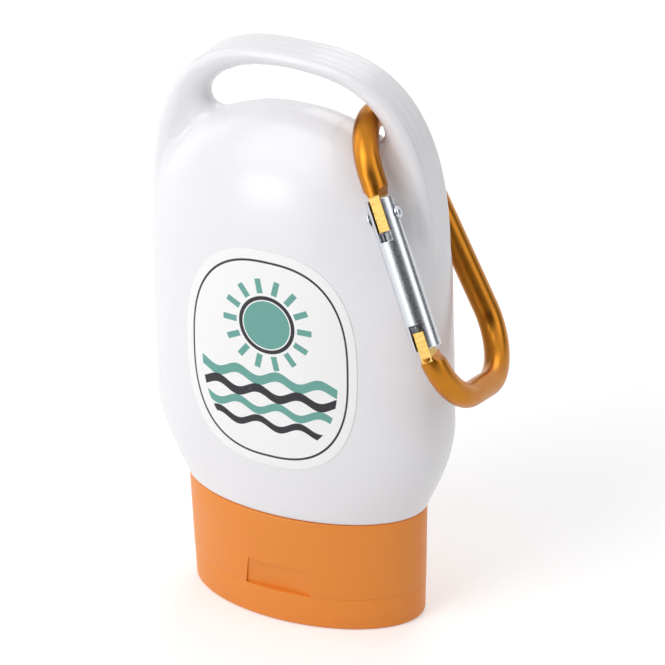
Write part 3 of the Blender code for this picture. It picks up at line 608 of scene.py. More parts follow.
def lit_milled_face(look):
    """Bright face with the close marks of a cutter: a lighter copy of the anodised gold, painted light
    where the lamps fall on the flat milled faces.
    """
    finish = Finish("Milled face", look.milled, 0.5, 1.0)
    marks = stretched_noise(finish, hook_place(finish), (3200, 700, 700))
    finish.wear_shades(marks, look.milled, 0.6, 1.3)
    finish.wear("Normal", finish.bump(marks, depth=0.00003))
    return finish.material


def drawn_aluminium(look):
    """Bright tube with fine drawing streaks along its length and a speckled skin."""
    finish = Finish("Drawn aluminium", look.aluminium, 0.3, 1.0)
    place = hook_place(finish)
    streaks = stretched_noise(finish, place, (130, 5200, 5200))
    speckle = finish.noise(scale=2800, place=place, detail=1)
    depth = 0.0000006
    finish.wear_shades(streaks, look.aluminium, 0.86, 1.12)
    finish.wear_gloss(speckle, smoothest=0.27, roughest=0.31, low=0.35, high=0.65)
    finish.wear("Normal", finish.bump(speckle, depth, finish.bump(streaks, depth)))
    return finish.material


def drawn_steel(look):
    finish = Finish("Spring steel", look.steel, 0.3, 1.0)
    cloud = finish.noise(scale=1800)
    finish.wear_shades(cloud, look.steel, 0.85, 1.15)
    finish.wear_gloss(cloud, smoothest=0.24, roughest=0.36)
    return finish.material


# The bottle's shape

def body_section(height):
    """Half width, half depth and power of the body at each height, for arrays or one height."""
    look = settings("bottle")
    flare = np.clip((height - look.flare_start) / look.flare_height, 0, 1)
    swell = np.sin(flare * np.pi / 2)
    rise = np.clip((height - look.shoulder_height) / (look.top - look.shoulder_height), 0, 1)
    taper = np.clip((height - look.taper_start) / (look.top - look.taper_start), 0, 1)
    width = look.foot_half_width + (look.half_width - look.foot_half_width) * swell
    depth = look.foot_half_depth + (look.half_depth - look.foot_half_depth) * swell
    width = width * (1 - rise ** look.shoulder_power) ** (1 / look.shoulder_power)
    depth = depth * (1 - taper ** look.taper_power) ** (1 / look.taper_power)
    return width, depth, look.foot_power + (look.power - look.foot_power) * flare


def section_at(height):
    """The body's section at one height, as plain numbers."""
    return [float(part) for part in body_section(height)]


def body_ring(height, inset=0.0, scale=1.0, level=None):
    width, depth, power = section_at(height)
    return oval_ring((width - inset) * scale, (depth - inset) * scale, power,
                     height if level is None else level)


def body_front(x, height):
    """Half depth of the body's front at a distance from its middle."""
    width, depth, power = section_at(height)
    return depth * (1 - min(abs(x) / width, 1.0) ** power) ** (1 / power)


def body_scale(points, smallest=0.05, largest=4.0, halvings=24):
    """How much larger than the body, about its middle, is the one that each point lies on."""
    look = settings("bottle")
    x, y, z = np.abs(points[:, 0]), np.abs(points[:, 1]), points[:, 2]
    above = np.maximum(z - look.shoulder_height, 0)
    low, high = np.full(len(x), smallest), np.full(len(x), largest)
    for _ in range(halvings):
        scale = (low + high) / 2
        height = np.minimum(z, look.shoulder_height) + above / scale
        width, depth, power = body_section(height)
        reach = (x / (scale * width + TINY)) ** power + (y / (scale * depth + TINY)) ** power
        inside = (reach < 1) & (height < look.top)
        low, high = np.where(inside, low, scale), np.where(inside, scale, high)
    return (low + high) / 2


def loop_curve(turn):
    """A point of the loop's outline and the outward direction there, in X and Z."""
    look = settings("bottle")
    power = 2 / look.loop_power
    cos, sin = math.cos(turn), math.sin(turn)
    point = Vector((look.loop_half_width * signed_power(cos, power), 0,
                    look.shoulder_height + look.loop_rise * signed_power(sin, power)))
    outward = Vector((signed_power(cos, 2 - power) / look.loop_half_width, 0,
                      signed_power(sin, 2 - power) / look.loop_rise))
    return point, outward.normalized()


def loop_thickness(cos):
    look = settings("bottle")
    swell = abs(cos) ** look.loop_swell_power
    return look.loop_top_thickness + (look.loop_leg_thickness - look.loop_top_thickness) * swell


def loop_foot_turn():
    look = settings("bottle")
    return math.asin((look.loop_foot_rise / look.loop_rise) ** (look.loop_power / 2))


def nearest_arch(point, steps=400):
    """The point of the body's arch, in its middle plane, that lies nearest to a point."""
    look = settings("bottle")
    rise = look.top - look.shoulder_height
    heights = look.shoulder_height + rise * np.sin(np.linspace(0, np.pi / 2, steps))
    widths = body_section(heights)[0]
    best = int(np.argmin(np.hypot(widths - point.x, heights - point.z)))
    return Vector((float(widths[best]), 0, float(heights[best])))


def opening_end(halvings=30):
    """Centre, turn and nearest body point of the circle that ends the loop's opening."""
    look = settings("bottle")
    low, high = loop_foot_turn(), math.pi / 2
    for _ in range(halvings):
        turn = (low + high) / 2
        point, outward = loop_curve(turn)
        centre = point - outward * (loop_thickness(math.cos(turn)) + look.opening_end_radius)
        nearest = nearest_arch(centre)
        arch = section_at(max(centre.z, look.shoulder_height))[0]
        inside = centre.z < look.top and centre.x < arch
        if inside or (nearest - centre).length < look.opening_end_radius:
            low = turn
        else:
            high = turn
    return centre, turn, nearest


def outline_offset(x, z, rounds=6, slide_share=0.7, least=1e-6, least_size=1e-3):
    """Distance outwards from the loop's outline and the cosine of the turn there."""
    look = settings("bottle")
    a, b, power = look.loop_half_width, look.loop_rise, look.loop_power
    x, z = np.abs(x), np.maximum(z - look.shoulder_height, least)

    def reach(px, pz):
        return ((px / a) ** power + (pz / b) ** power) ** (1 / power)

    size = np.maximum(reach(x, z), least_size)
    px, pz = x / size, z / size
    for _ in range(rounds):
        nx, nz = (px / a) ** (power - 1) / a, (pz / b) ** (power - 1) / b
        steep = np.hypot(nx, nz)
        nx, nz = nx / steep, nz / steep
        slide = slide_share * ((x - px) * -nz + (z - pz) * nx)
        px, pz = np.maximum(px - nz * slide, 0), np.maximum(pz + nx * slide, least)
        size = reach(px, pz)
        px, pz = px / size, pz / size
    return (x - px) * nx + (z - pz) * nz, (px / a) ** (power / 2)


def rounded(first, second, radius, power):
    """The space inside two distances, with an edge of some reach and roundness between them."""
    first, second = first + radius, second + radius
    corner = (np.maximum(first, TINY) ** power + np.maximum(second, TINY) ** power) ** (1 / power)
    return corner + np.minimum(np.maximum(first, second), 0) - radius


def inner_edge(thickness):
    """Reach of the band's inner edges, which leaves room for its outer ones."""
    look = settings("bottle")
    return np.minimum(look.loop_inner_edge, thickness - look.loop_edge)


def band_offset(out, across, thickness, cos):
    """Distance to the band's section: rounded edges, and grooves that fade to the legs."""
    look = settings("bottle")
    outer = out > -look.loop_edge
    depth = look.groove_depth * (1 - np.minimum(cos, 1) ** 2)
    dip = 0
    for place in (-1, 0, 1):
        beside = np.abs(across - place * look.groove_pitch) / (look.groove_width / 2)
        dip = dip + depth * np.cos(np.minimum(beside, 1) * np.pi / 2) ** 2
    return rounded(np.where(outer, out + dip, -thickness - out),
                   np.abs(across) - look.loop_depth / 2,
                   np.where(outer, look.loop_edge, inner_edge(thickness)),
                   np.where(outer, 2.0, look.loop_inner_power))


def soft_union(first, second, reach):
    """Smooth minimum of two distances, and the share that the first one has in it."""
    share = np.clip(0.5 + 0.5 * (second - first) / reach, 0, 1)
    return second + (first - second) * share - reach * share * (1 - share), share


def loop_offset(points, end):
    """Distance to the loop with its two webs."""
    look = settings("bottle")
    centre, turn, _ = end
    outward = loop_curve(turn)[1]
    x, y, z = np.abs(points[:, 0]), points[:, 1], points[:, 2]
    out, cos = outline_offset(x, z)
    thickness = loop_thickness(cos)
    band = np.maximum(band_offset(out, y, thickness, cos),
                      look.shoulder_height + look.loop_foot_rise - z)
    from_end = np.hypot(x - centre.x, z - centre.z)
    past_end = (x - centre.x) * -outward.z + (z - centre.z) * outward.x
    ease = np.clip(-past_end / look.web_ease, 0, 1)
    ease = ease ** 2 * (3 - 2 * ease)
    face = np.abs(y) - look.loop_depth / 2 + look.web_recess * ease
    edge = inner_edge(loop_thickness(abs(math.cos(turn))))
    web = np.maximum.reduce([rounded(look.opening_end_radius - from_end, face, edge,
                                     look.loop_inner_power), past_end, out + thickness / 2])
    return soft_union(band, web, look.inner_fillet * np.maximum(ease, LEAST_FILLET_SHARE))[0]


def sloped(function, points, step=0.00001):
    """A distance-like function made a true distance near its surface, with its normals."""
    middle = function(points)
    slope = np.stack([function(points + offset) - middle for offset in np.eye(3) * step], 1) / step
    steep = np.maximum(np.linalg.norm(slope, axis=1), LEAST_SLOPE)
    return middle / steep, slope / steep[:, None]


def settle(bm, end, rounds):
    """Move each vertex onto the exact surface of body, loop and fillets."""
    look = settings("bottle")
    points = np.array([vert.co for vert in bm.verts])
    for _ in range(rounds):
        body, body_normal = sloped(lambda places: body_scale(places) - 1, points)
        loop, loop_normal = sloped(lambda places: loop_offset(places, end), points)
        apart = 1 - np.sum(body_normal * loop_normal, axis=1)
        rise = np.clip((points[:, 2] - look.shoulder_height - look.loop_foot_rise)
                       / look.fillet_rise, 0, 1)
        reach = (look.fillet * np.clip(apart, LEAST_FILLET_SHARE, 1)
                 * np.maximum(rise, LEAST_FILLET_SHARE))
        distance, share = soft_union(body, loop, reach)
        normal = loop_normal + (body_normal - loop_normal) * share[:, None]
        normal /= np.maximum(np.linalg.norm(normal, axis=1), LEAST_SLOPE)[:, None]
        points -= normal * np.clip(distance, -look.grain, look.grain)[:, None]
    for vert, point in zip(bm.verts, points):
        vert.co = point


def draft_body(rows=24, sides=96):
    """The body above its taper's start as a rough shell."""
    look = settings("bottle")
    low = look.taper_start
    rise = look.top - low
    return lofted([body_ring(low + rise * math.sin(math.pi / 2 * row / rows) * DOME_SHARE)
                   for row in range(rows + 1)], sides)


def draft_band(sections=96, sides=24, corner_power=6.0):
    """The loop's band as a rough shell with plain rounded sections."""
    look = settings("bottle")
    foot = loop_foot_turn()

    def section_ring(along):
        point, outward = loop_curve(along)
        half = loop_thickness(math.cos(along)) / 2
        box = oval_ring(half, look.loop_depth / 2, corner_power, 0)

        def place(turn):
            across = box(turn)
            return point + outward * (across.x - half) + Vector((0, across.y, 0))
        return place

    return lofted([section_ring(foot + (math.pi - 2 * foot) * step / sections)
                   for step in range(sections + 1)], sides)


def draft_web(end, side, arc_steps=10, body_share=0.85):
    """One web between leg and shoulder as a rough slab, with the opening's round end."""
    look = settings("bottle")
    centre, end_turn, nearest = end
    foot = loop_foot_turn()
    outward, down = loop_curve(end_turn)[1], nearest - centre
    first, last = math.atan2(outward.z, outward.x), math.atan2(down.z, down.x)
    last -= math.tau * math.ceil((last - first) / math.tau)
    turns = [first + (last - first) * step / arc_steps for step in range(arc_steps + 1)]
    outline = [centre + Vector((math.cos(turn), 0, math.sin(turn))) * look.opening_end_radius
               for turn in turns]
    low = look.shoulder_height + look.loop_foot_rise
    for share in (0.9, 0.6, 0.3, 0.0):
        height = low + (nearest.z - low) * share
        outline.append(Vector((section_at(height)[0] * body_share, 0, height)))
    for share in (0.0, 0.25, 0.5, 0.75, 1.0):
        point, out = loop_curve(foot + (end_turn - foot) * share)
        outline.append(point - out * look.loop_leg_thickness / 2)
    half = look.loop_depth / 2 - look.web_recess
    return prism([(side * point.x, -half, point.z) for point in outline], (0, 2 * half, 0))


def draft_top(end):
    """Shoulder, band and webs as rough shells that overlap, made one by a voxel remesh."""
    bm = draft_body()
    for shell in (draft_band(), draft_web(end, -1), draft_web(end, 1)):
        mesh = meshed("shell", shell)
        bm.from_mesh(mesh)
        bpy.data.meshes.remove(mesh)
    return modified(bm, "REMESH", mode="VOXEL", voxel_size=settings("bottle").grain)


def bottle_rings(flare_rows=7, foot_rows=16, hollow_rows=20):
    """Rings from the waist down the outside, round foot and neck, and up the hollow inside."""
    look = settings("bottle")
    waist, flare_top = look.shoulder_height, look.flare_start + look.flare_height
    low = look.foot_height + look.foot_edge
    rings = [body_ring(start + (stop - start) * row / rows)
             for start, stop, rows in ((waist, flare_top, flare_rows), (flare_top, low, foot_rows))
             for row in range(1, rows + 1)]
    for turn in np.radians((30, 60, 90)):
        rings.append(body_ring(low, look.foot_edge * (1 - math.cos(turn)),
                               level=low - look.foot_edge * math.sin(turn)))
    bead = look.neck_tip + look.bead_setback
    crest_radius = look.neck_radius + look.bead_height
    for radius, height in (
            (look.neck_radius + look.neck_root, look.foot_height),
            (look.neck_radius, look.foot_height - look.neck_root),
            (look.neck_radius, bead + look.bead_half_length),
            (crest_radius, bead + look.bead_crest), (crest_radius, bead - look.bead_crest),
            (look.neck_radius, bead - look.bead_half_length),
            (look.neck_radius, look.neck_tip + look.mouth_edge),
            (look.neck_radius - look.mouth_edge, look.neck_tip),
            (look.neck_bore, look.neck_tip), (look.neck_bore, look.flare_start + look.wall)):
        rings.append(circle_ring(radius, height))
    span = look.top - look.flare_start
    scale = 1 - look.wall / look.half_depth
    for row in range(hollow_rows + 1):
        share = math.sin(math.pi / 2 * row / hollow_rows) * DOME_SHARE
        level = look.flare_start + look.wall + (span - 2 * look.wall) * share
        rings.append(body_ring(look.flare_start + span * share, scale=scale, level=level))
    return rings


def refine_band(bm):
    """Halve the mesh on the band's outer face, where its grooves lie."""
    look = settings("bottle")
    points = np.array([vert.co for vert in bm.verts])
    out = outline_offset(points[:, 0], points[:, 2])[0]
    near = ((out > -look.loop_edge * 1.5) & (np.abs(points[:, 1]) < look.loop_depth / 2 + look.grain)
            & (points[:, 2] > look.shoulder_height + look.loop_foot_rise))
    outer = {vert for vert, chosen in zip(bm.verts, near) if chosen}
    fine = [edge for edge in bm.edges if edge.verts[0] in outer and edge.verts[1] in outer]
    bmesh.ops.subdivide_edges(bm, edges=fine, cuts=1, use_grid_fill=True)


def soften_ends(bm, centre):
    """Smooth the skin round both ends of the opening, but not the band's outer face."""
    look = settings("bottle")
    soft = [vert for vert in bm.verts
            if math.hypot(abs(vert.co.x) - centre.x, vert.co.z - centre.z) < look.soft_reach
            and outline_offset(vert.co.x, vert.co.z)[0] < -look.loop_edge]
    smoothed(bm, soft, look.soft_rounds)


def close_under(bm):
    """Cut the skin level at the waist and carry it on down the body and round the hollow."""
    look = settings("bottle")
    waist = look.shoulder_height
    bmesh.ops.bisect_plane(bm, geom=bm.verts[:] + bm.edges[:] + bm.faces[:], clear_inner=True,
                           plane_co=(0, 0, waist), plane_no=(0, 0, 1))
    rim = [vert for vert in bm.verts if vert.is_boundary]
    bmesh.ops.remove_doubles(bm, verts=rim, dist=look.grain / 2)
    layer = bm.verts.layers.float.new("turn")
    width, depth, power = section_at(waist)
    ring = body_ring(waist)
    for vert in bm.verts:
        if vert.is_boundary:
            vert[layer] = math.atan2(signed_power(vert.co.y / depth, power / 2),
                                     signed_power(vert.co.x / width, power / 2))
            vert.co = ring(vert[layer])
    edges = [edge for edge in bm.edges if edge.is_boundary]
    edges = extruded(bm, edges, layer, bottle_rings())
    bmesh.ops.edgeloop_fill(bm, edges=edges)


def bottle_mesh():
    end = opening_end()
    bm = draft_top(end)
    for _ in range(3):
        settle(bm, end, 2)
        smoothed(bm, bm.verts)
    settle(bm, end, 2)
    refine_band(bm)
    settle(bm, end, 3)
    soften_ends(bm, end[0])
    close_under(bm)
    return faced_out(bm)


class POCKET_OT_bottle(bpy.types.Operator):
    """Build the bottle with its neck, hollow, shoulder and carrying loop"""
    bl_idname = "pocket.bottle"
    bl_label = "Bottle"

    def execute(self, context):
        look = settings("bottle")
        plastic = moulded_plastic("White bottle plastic", look.plastic, look.roughness,
                                  grain_depth=0.0000010, mottle=0.008)
        added("bottle_shell", bottle_mesh(), "bottle", [plastic],
              ["bottle_body"], sharp=math.radians(50))
        return {"FINISHED"}


class POCKET_OT_label(bpy.types.Operator):
    """Build the printed film on the bottle's front"""
    bl_idname = "pocket.label"
    bl_label = "Label"

    def execute(self, context):
        look = settings("label")

        def film_ring(share, lift):
            flat = oval_ring(look.half_width * share, look.half_height * share, look.power, 0)

            def place(turn):
                x, z, _ = flat(turn)
                return Vector((x, -body_front(x, look.height + z) - lift, look.height + z))
            return place

        middle_share, steps = 0.004, 10
        shares = [middle_share] + [step / steps for step in range(1, steps + 1)]
        rings = [film_ring(share, look.lift) for share in shares]
        rings += [film_ring(share, look.lift + look.thickness) for share in reversed(shares)]
        added("label_film", lofted(rings, look.sides), "bottle", [printed_film(look)],
              ["front_label"])
        return {"FINISHED"}


# The closure, its lid and its hinge

def closure_share(height):
    look = settings("closure")
    return look.foot_share + (1 - look.foot_share) * height / look.height


def closure_ring(height, inset=0.0):
    look = settings("closure")
    share = closure_share(height)
    return oval_ring(look.half_width * share - inset, look.half_depth * share - inset,
                     look.power, height)


def closure_back(height, x=0.0):
    """Half depth of the closure's outside at a height and a distance from the middle."""
    look = settings("closure")
    share = closure_share(height)
    across = min(abs(x) / (look.half_width * share), 1.0)
    return look.half_depth * share * (1 - across ** look.power) ** (1 / look.power)


def lower_edge(foot, radius, steps, inset=0.0):
    """Rings round a rounded lower edge, from the face below up to the outside."""
    turns = [math.pi / 2 * step / steps for step in range(steps + 1)]
    return [closure_ring(foot + radius * (1 - math.cos(turn)), inset + radius * (1 - math.sin(turn)))
            for turn in turns]


def closure_rings():
    """The closure's whole profile, from its lower edge round the outside, inside and spout."""
    look = settings("closure")
    foot, top, edge = look.seam + look.seam_gap / 2, look.height + look.reach, look.edge
    rings = lower_edge(foot, look.seam_edge, 3)
    rings += [closure_ring(foot + edge + (top - foot - 2 * edge) * share)
              for share in (0.1, 0.35, 0.7, 1.0)]
    for turn in np.radians((30, 60, 90)):
        rings.append(closure_ring(top - edge * (1 - math.sin(turn)), edge * (1 - math.cos(turn))))
    rings += [closure_ring(top, look.wall - edge), closure_ring(top - edge, look.wall),
              closure_ring(look.deck_top, look.wall)]
    sleeve_outside = look.sleeve_radius + look.sleeve_wall
    sleeve_top = look.core_floor + look.sleeve_depth
    bottle = settings("bottle")
    groove, groove_depth = bottle.neck_tip + bottle.bead_setback, bottle.bead_height
    plug_top = look.core_floor + look.plug_length
    plug_inside = look.plug_radius - look.plug_wall
    for radius, height in (
            (sleeve_outside, look.deck_top), (sleeve_outside, sleeve_top - edge),
            (sleeve_outside - edge, sleeve_top), (look.sleeve_radius + edge, sleeve_top),
            (look.sleeve_radius, sleeve_top - edge),
            (look.sleeve_radius, groove + look.groove_half_length),
            (look.sleeve_radius + groove_depth, groove),
            (look.sleeve_radius, groove - look.groove_half_length),
            (look.sleeve_radius, look.core_floor), (look.plug_radius, look.core_floor),
            (look.plug_radius, plug_top - edge), (look.plug_radius - edge, plug_top),
            (plug_inside, plug_top), (plug_inside, look.core_floor),
            (look.spout_bore + edge, look.core_floor), (look.spout_bore, look.core_floor - edge),
            (look.spout_bore, look.spout_tip + edge), (look.spout_bore + edge, look.spout_tip),
            (look.spout_radius - edge, look.spout_tip), (look.spout_radius, look.spout_tip + edge),
            (look.spout_radius, foot)):
        rings.append(circle_ring(radius, height))
    return rings


def thumb_wedge():
    """Cutter of the thumb recess: deep and wide at the seam, shallow and narrower at its top."""
    look = settings("closure")
    foot, overrun = look.seam, look.wall
    front = -closure_back(foot)
    wedge = boxed((-0.5, -overrun, -overrun), (0.5, 1, look.recess_height))
    for vert in wedge.verts:
        high = vert.co.z > 0
        vert.co.x *= look.recess_top_width if high else look.recess_foot_width
        depth = look.recess_top_depth if high else look.recess_foot_depth
        vert.co.y = front + (depth if vert.co.y > 0 else -overrun)
        vert.co.z += foot
    return wedge


def recess_edges(bm, depth_share=1.2, half_width_share=0.51, height_share=1.05):
    """Sharp edges round the floor of the thumb recess, above the seam's own edge."""
    look = settings("closure")
    deepest = look.recess_foot_depth * depth_share - closure_back(look.seam)
    widest = look.recess_foot_width * half_width_share
    low, high = look.seam + look.edge * 2, look.seam + look.recess_height * height_share
    return [edge for edge in sharp_edges(bm, math.radians(12))
            if all(vert.co.y < deepest and abs(vert.co.x) < widest and low < vert.co.z < high
                   for vert in edge.verts)
            and any(face.normal.y < -0.9 and abs(face.normal.x) < 0.02
                    for face in edge.link_faces)]


class POCKET_OT_closure(bpy.types.Operator):
    """Build the closure with its deck, neck sleeve, plug, spout and thumb recess"""
    bl_idname = "pocket.closure"
    bl_label = "Closure"

    def execute(self, context):
        look = settings("closure")
        bm = combined(lofted(closure_rings(), look.sides, closed=True), "DIFFERENCE", thumb_wedge())
        bevelled(bm, recess_edges(bm), look.recess_edge)
        added("closure_shell", bm, "bottle", [orange_plastic()],
              ["closure_body"])
        return {"FINISHED"}


class POCKET_OT_lid(bpy.types.Operator):
    """Build the lid that the bottle stands on, with its sealing pin"""
    bl_idname = "pocket.lid"
    bl_label = "Lid"

    def execute(self, context):
        look = settings("closure")
        top, inset, edge = look.seam - look.seam_gap / 2, look.lid_inset, look.edge
        bevel = look.seam_edge * 0.3
        rings = lower_edge(0, look.lid_edge, 6, inset)
        rings += [closure_ring((look.lid_edge + top) / 2, inset),
                  closure_ring(top - look.seam_edge, inset),
                  closure_ring(top - bevel, inset + bevel),
                  closure_ring(top, inset + look.seam_edge)]
        inner = inset + look.lid_wall
        rings += [closure_ring(top, inner - edge / 2), closure_ring(top - edge / 2, inner),
                  closure_ring(look.lid_plate + edge * 2, inner),
                  closure_ring(look.lid_plate, inner + edge * 2)]
        for radius, height in (
                (look.pin_radius + edge * 2, look.lid_plate),
                (look.pin_radius, look.lid_plate + edge * 2),
                (look.pin_radius, look.pin_tip - edge), (look.pin_radius - edge, look.pin_tip),
                (look.pin_radius / 20, look.pin_tip)):
            rings.append(circle_ring(radius, height))
        added("flip_lid_shell", lofted(rings, look.sides), "lid",
              [orange_plastic()], ["flip_lid"])
        return {"FINISHED"}


def orange_plastic():
    look = settings("closure")
    return bpy.data.materials.get("Orange closure plastic") or moulded_plastic(
        "Orange closure plastic", look.plastic, look.roughness, grain_depth=0.0000022, mottle=0.03)


def hinge_strip(middle, width, height):
    """A strip across the seam, thin at its fold, whose two lands reach the walls behind it."""
    look = settings("closure")
    half_x, half_z, thick = width / 2, height / 2, look.film_thickness
    land = JOINTS["lid_flip"]["pos_m"][1] - thick / 2
    middle_y = land + thick / 2
    bm = boxed((middle - half_x, land, look.seam - half_z),
               (middle + half_x, land + thick, look.seam + half_z))
    for axis, half, cuts in ((2, half_z, 11), (0, half_x, 7)):
        edges = [edge for edge in bm.edges
                 if abs(edge.verts[0].co[axis] - edge.verts[1].co[axis]) > half]
        bmesh.ops.subdivide_edges(bm, edges=edges, cuts=cuts, use_grid_fill=True)
    for vert in bm.verts:
        share = min(abs(vert.co.z - look.seam) / half_z, 1.0)
        bend = share * share * (3 - 2 * share)
        wall = closure_back(vert.co.z, vert.co.x) - (look.lid_inset if vert.co.z < look.seam else 0)
        slimness = look.fold_share + (1 - look.fold_share) * bend
        slack = closure_back(look.seam, vert.co.x) - closure_back(look.seam)
        if vert.co.y > middle_y:
            vert.co.y = middle_y + thick / 2 * slimness + slack * bend
        else:
            fold = middle_y - thick / 2 * slimness
            vert.co.y = fold + (wall + look.seam_gap / 2 - fold) * bend
    return bevelled(bm, sharp_edges(bm, math.radians(50)), thick / 6)


class POCKET_OT_hinge(bpy.types.Operator):
    """Build the living hinge's film and its two snap bands"""
    bl_idname = "pocket.hinge"
    bl_label = "Living Hinge"

    def execute(self, context):
        look = settings("closure")
        film, band = (look.film_width, look.film_height), (look.band_width, look.band_height)
        for name, node, middle, (width, height) in (
                ("hinge_strip", "hinge_film", 0, film),
                ("snap_strip_left", "snap_band_left", -look.band_offset, band),
                ("snap_strip_right", "snap_band_right", look.band_offset, band)):
            strip = added(name, hinge_strip(middle, width, height), None,
                          [orange_plastic()], [node])
            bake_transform(strip)
        return {"FINISHED"}


# The snap hook

def hook_space():
    """Matrix of the hook's own frame: the origin on the rivet, s along the gate."""
    along = Vector(JOINTS["plunger_slide"]["axis"]).normalized()
    normal = Vector(JOINTS["gate_pivot"]["axis"]).normalized()
    across = normal.cross(along).normalized()
    turn = Matrix((along, across, along.cross(across))).transposed().to_4x4()
    return Matrix.Translation(JOINTS["gate_pivot"]["pos_m"]) @ turn


def rod_ring(point, outward, radius):
    """A ring of a rod in the hook's plane, square to its path."""
    def place(turn):
        flat = point + outward * (radius * math.cos(turn))
        return Vector((flat.x, flat.y, radius * math.sin(turn)))
    return place


def rod(radius, stations, sides):
    """A straight rod along s through pairs of place and radius inset."""
    return lofted([rod_ring(Vector((along, 0)), Vector((0, -1)), radius - inset)
                   for along, inset in stations], sides)


def cross_pin(stations, sides):
    """A turned pin along the rivet's axis through pairs of radius and height."""
    return lofted([circle_ring(radius, height) for radius, height in stations], sides)


def rivet_hole(half_length, clearance_share=1.15, sides=32):
    radius = settings("hook").rivet_radius * clearance_share
    return cross_pin([(radius, -half_length), (radius, half_length)], sides)


def tangent_turn(first, second):
    """The turn at which a straight stretch leaves one bend for the next."""
    (centre_a, radius_a), (centre_b, radius_b) = first, second
    along = centre_b - centre_a
    return math.atan2(along.y, along.x) + math.acos((radius_a - radius_b) / along.length)


def hook_rings(grain=math.radians(3)):
    """Rings of the bent rod from the rivet's end round top, spine and nose."""
    look = settings("hook")
    bends = ((Vector((-look.top_bend_rise, look.top_bend_radius)), look.top_bend_radius),
             (Vector((look.spine_bend_drop, look.spine_bend_offset)), look.spine_bend_radius),
             (Vector((look.nose_bend_drop, look.nose_bend_radius)), look.nose_bend_radius))
    first = tangent_turn(*bends[:2]) - math.tau
    second = tangent_turn(*bends[1:])
    second -= math.tau * math.ceil((second - first) / math.tau)
    last = (-math.pi / 2 - math.tau
            + math.asin((look.nose_root - look.nose_bend_drop) / look.nose_bend_radius))
    turns = (-math.pi / 2, first, second, last)
    rings = [rod_ring(Vector((-look.top_root, 0)), Vector((0, -1)), look.rod_radius)]
    for (centre, radius), low, high in zip(bends, turns, turns[1:]):
        steps = round(abs(high - low) / grain)
        for step in range(steps + 1):
            turn = low + (high - low) * step / steps
            outward = Vector((math.cos(turn), math.sin(turn)))
            rings.append(rod_ring(centre + outward * radius, outward, look.rod_radius))
    return rings


def root_cutters(root, towards, arc_steps=8):
    """The two cuts beside a tongue: flat on its faces, with the cutter's radius at its root."""
    look = settings("hook")
    half, radius = look.tongue_thickness / 2, look.cutter_radius
    wide, high, far = look.rod_radius * 1.5, look.rod_radius * 2.4, look.gate_drop / 2
    cutters = []
    for side in (-1, 1):
        outline = [(root - towards * radius * math.sin(turn),
                    -wide, side * (half + radius * (1 - math.cos(turn))))
                   for turn in (math.pi / 2 * step / arc_steps for step in range(arc_steps + 1))]
        outline += [(root - towards * radius, -wide, side * high),
                    (root + towards * far, -wide, side * high),
                    (root + towards * far, -wide, side * half)]
        cutters.append(prism(outline, (0, 2 * wide, 0)))
    return cutters


def placed(bm):
    bmesh.ops.transform(bm, matrix=hook_space(), verts=bm.verts)
    return bm


class POCKET_OT_hook(bpy.types.Operator):
    """Build the bent rod of the snap hook with its milled tongues"""
    bl_idname = "pocket.hook"
    bl_label = "Hook Frame"

    def execute(self, context):
        look = settings("hook")
        half, sunk = look.tongue_thickness / 2, look.rod_radius / 2
        outside = look.rod_radius * 1.5
        bm = lofted(hook_rings(), look.sides)
        # Faces from the tongues, the flats and the rivet hole take material 1, the milled face in its
        # lighter copy of the gold (painted light); the cutters' rounds keep the anodised gold
        bm = combined(bm, "UNION",
                      boxed((-look.top_root - sunk, -look.tongue_outside, -half),
                            (look.top_tip, look.tongue_inside, half)),
                      boxed((look.nose_tip, -look.tongue_outside, -half),
                            (look.nose_root + sunk, look.nose_inside, half)), finish=1)
        flats = [boxed((-look.top_root - sunk / 4, -outside, -outside),
                       (look.top_tip + sunk, -look.tongue_outside, outside)),
                 boxed((look.nose_tip - sunk, -outside, -outside),
                       (look.nose_root + sunk / 4, -look.tongue_outside, outside))]
        bm = combined(bm, "DIFFERENCE", *flats, finish=1)
        bm = combined(bm, "DIFFERENCE", *root_cutters(-look.top_root, 1),
                      *root_cutters(look.nose_root, -1), finish=0)
        bm = combined(bm, "DIFFERENCE", rivet_hole(half * 2), finish=1)
        bevelled(bm, sharp_edges(bm, math.radians(38)), look.edge)
        added("hook_rod", placed(bm), "hook",
              [anodised(look), lit_milled_face(look)], ["hook_frame"], sharp=math.radians(20))
        return {"FINISHED"}


class POCKET_OT_gate(bpy.types.Operator):
    """Build the sprung gate tube with its two slots"""
    bl_idname = "pocket.gate"
    bl_label = "Gate"

    def execute(self, context):
        look = settings("hook")
        edge, half, wide = look.edge * 1.5, look.slot_width / 2, look.gate_radius * 2
        tube = rod(look.gate_radius,
                   [(-look.gate_rise, edge), (-look.gate_rise + edge, 0),
                    (look.gate_drop - edge, 0), (look.gate_drop, edge)], look.gate_sides)
        bore = rod(look.bore_radius, [(-look.gate_rise - edge, 0), (look.bore_drop, 0)],
                   look.bore_sides)
        top_slot = boxed((-wide, -wide, -half), (look.top_slot_drop, wide, half))
        foot_slot = boxed((look.foot_slot_drop, -wide, -half),
                          (look.gate_drop + wide, look.gate_radius - look.stop_wall, half))
        bm = combined(tube, "DIFFERENCE", bore, top_slot, foot_slot, rivet_hole(wide))
        bevelled(bm, sharp_edges(bm, math.radians(50)), look.edge)
        added("gate_tube", placed(bm), "gate", [aluminium()], ["hook_gate"],
              sharp=math.radians(20))
        return {"FINISHED"}


def aluminium():
    return bpy.data.materials.get("Drawn aluminium") or drawn_aluminium(settings("hook"))


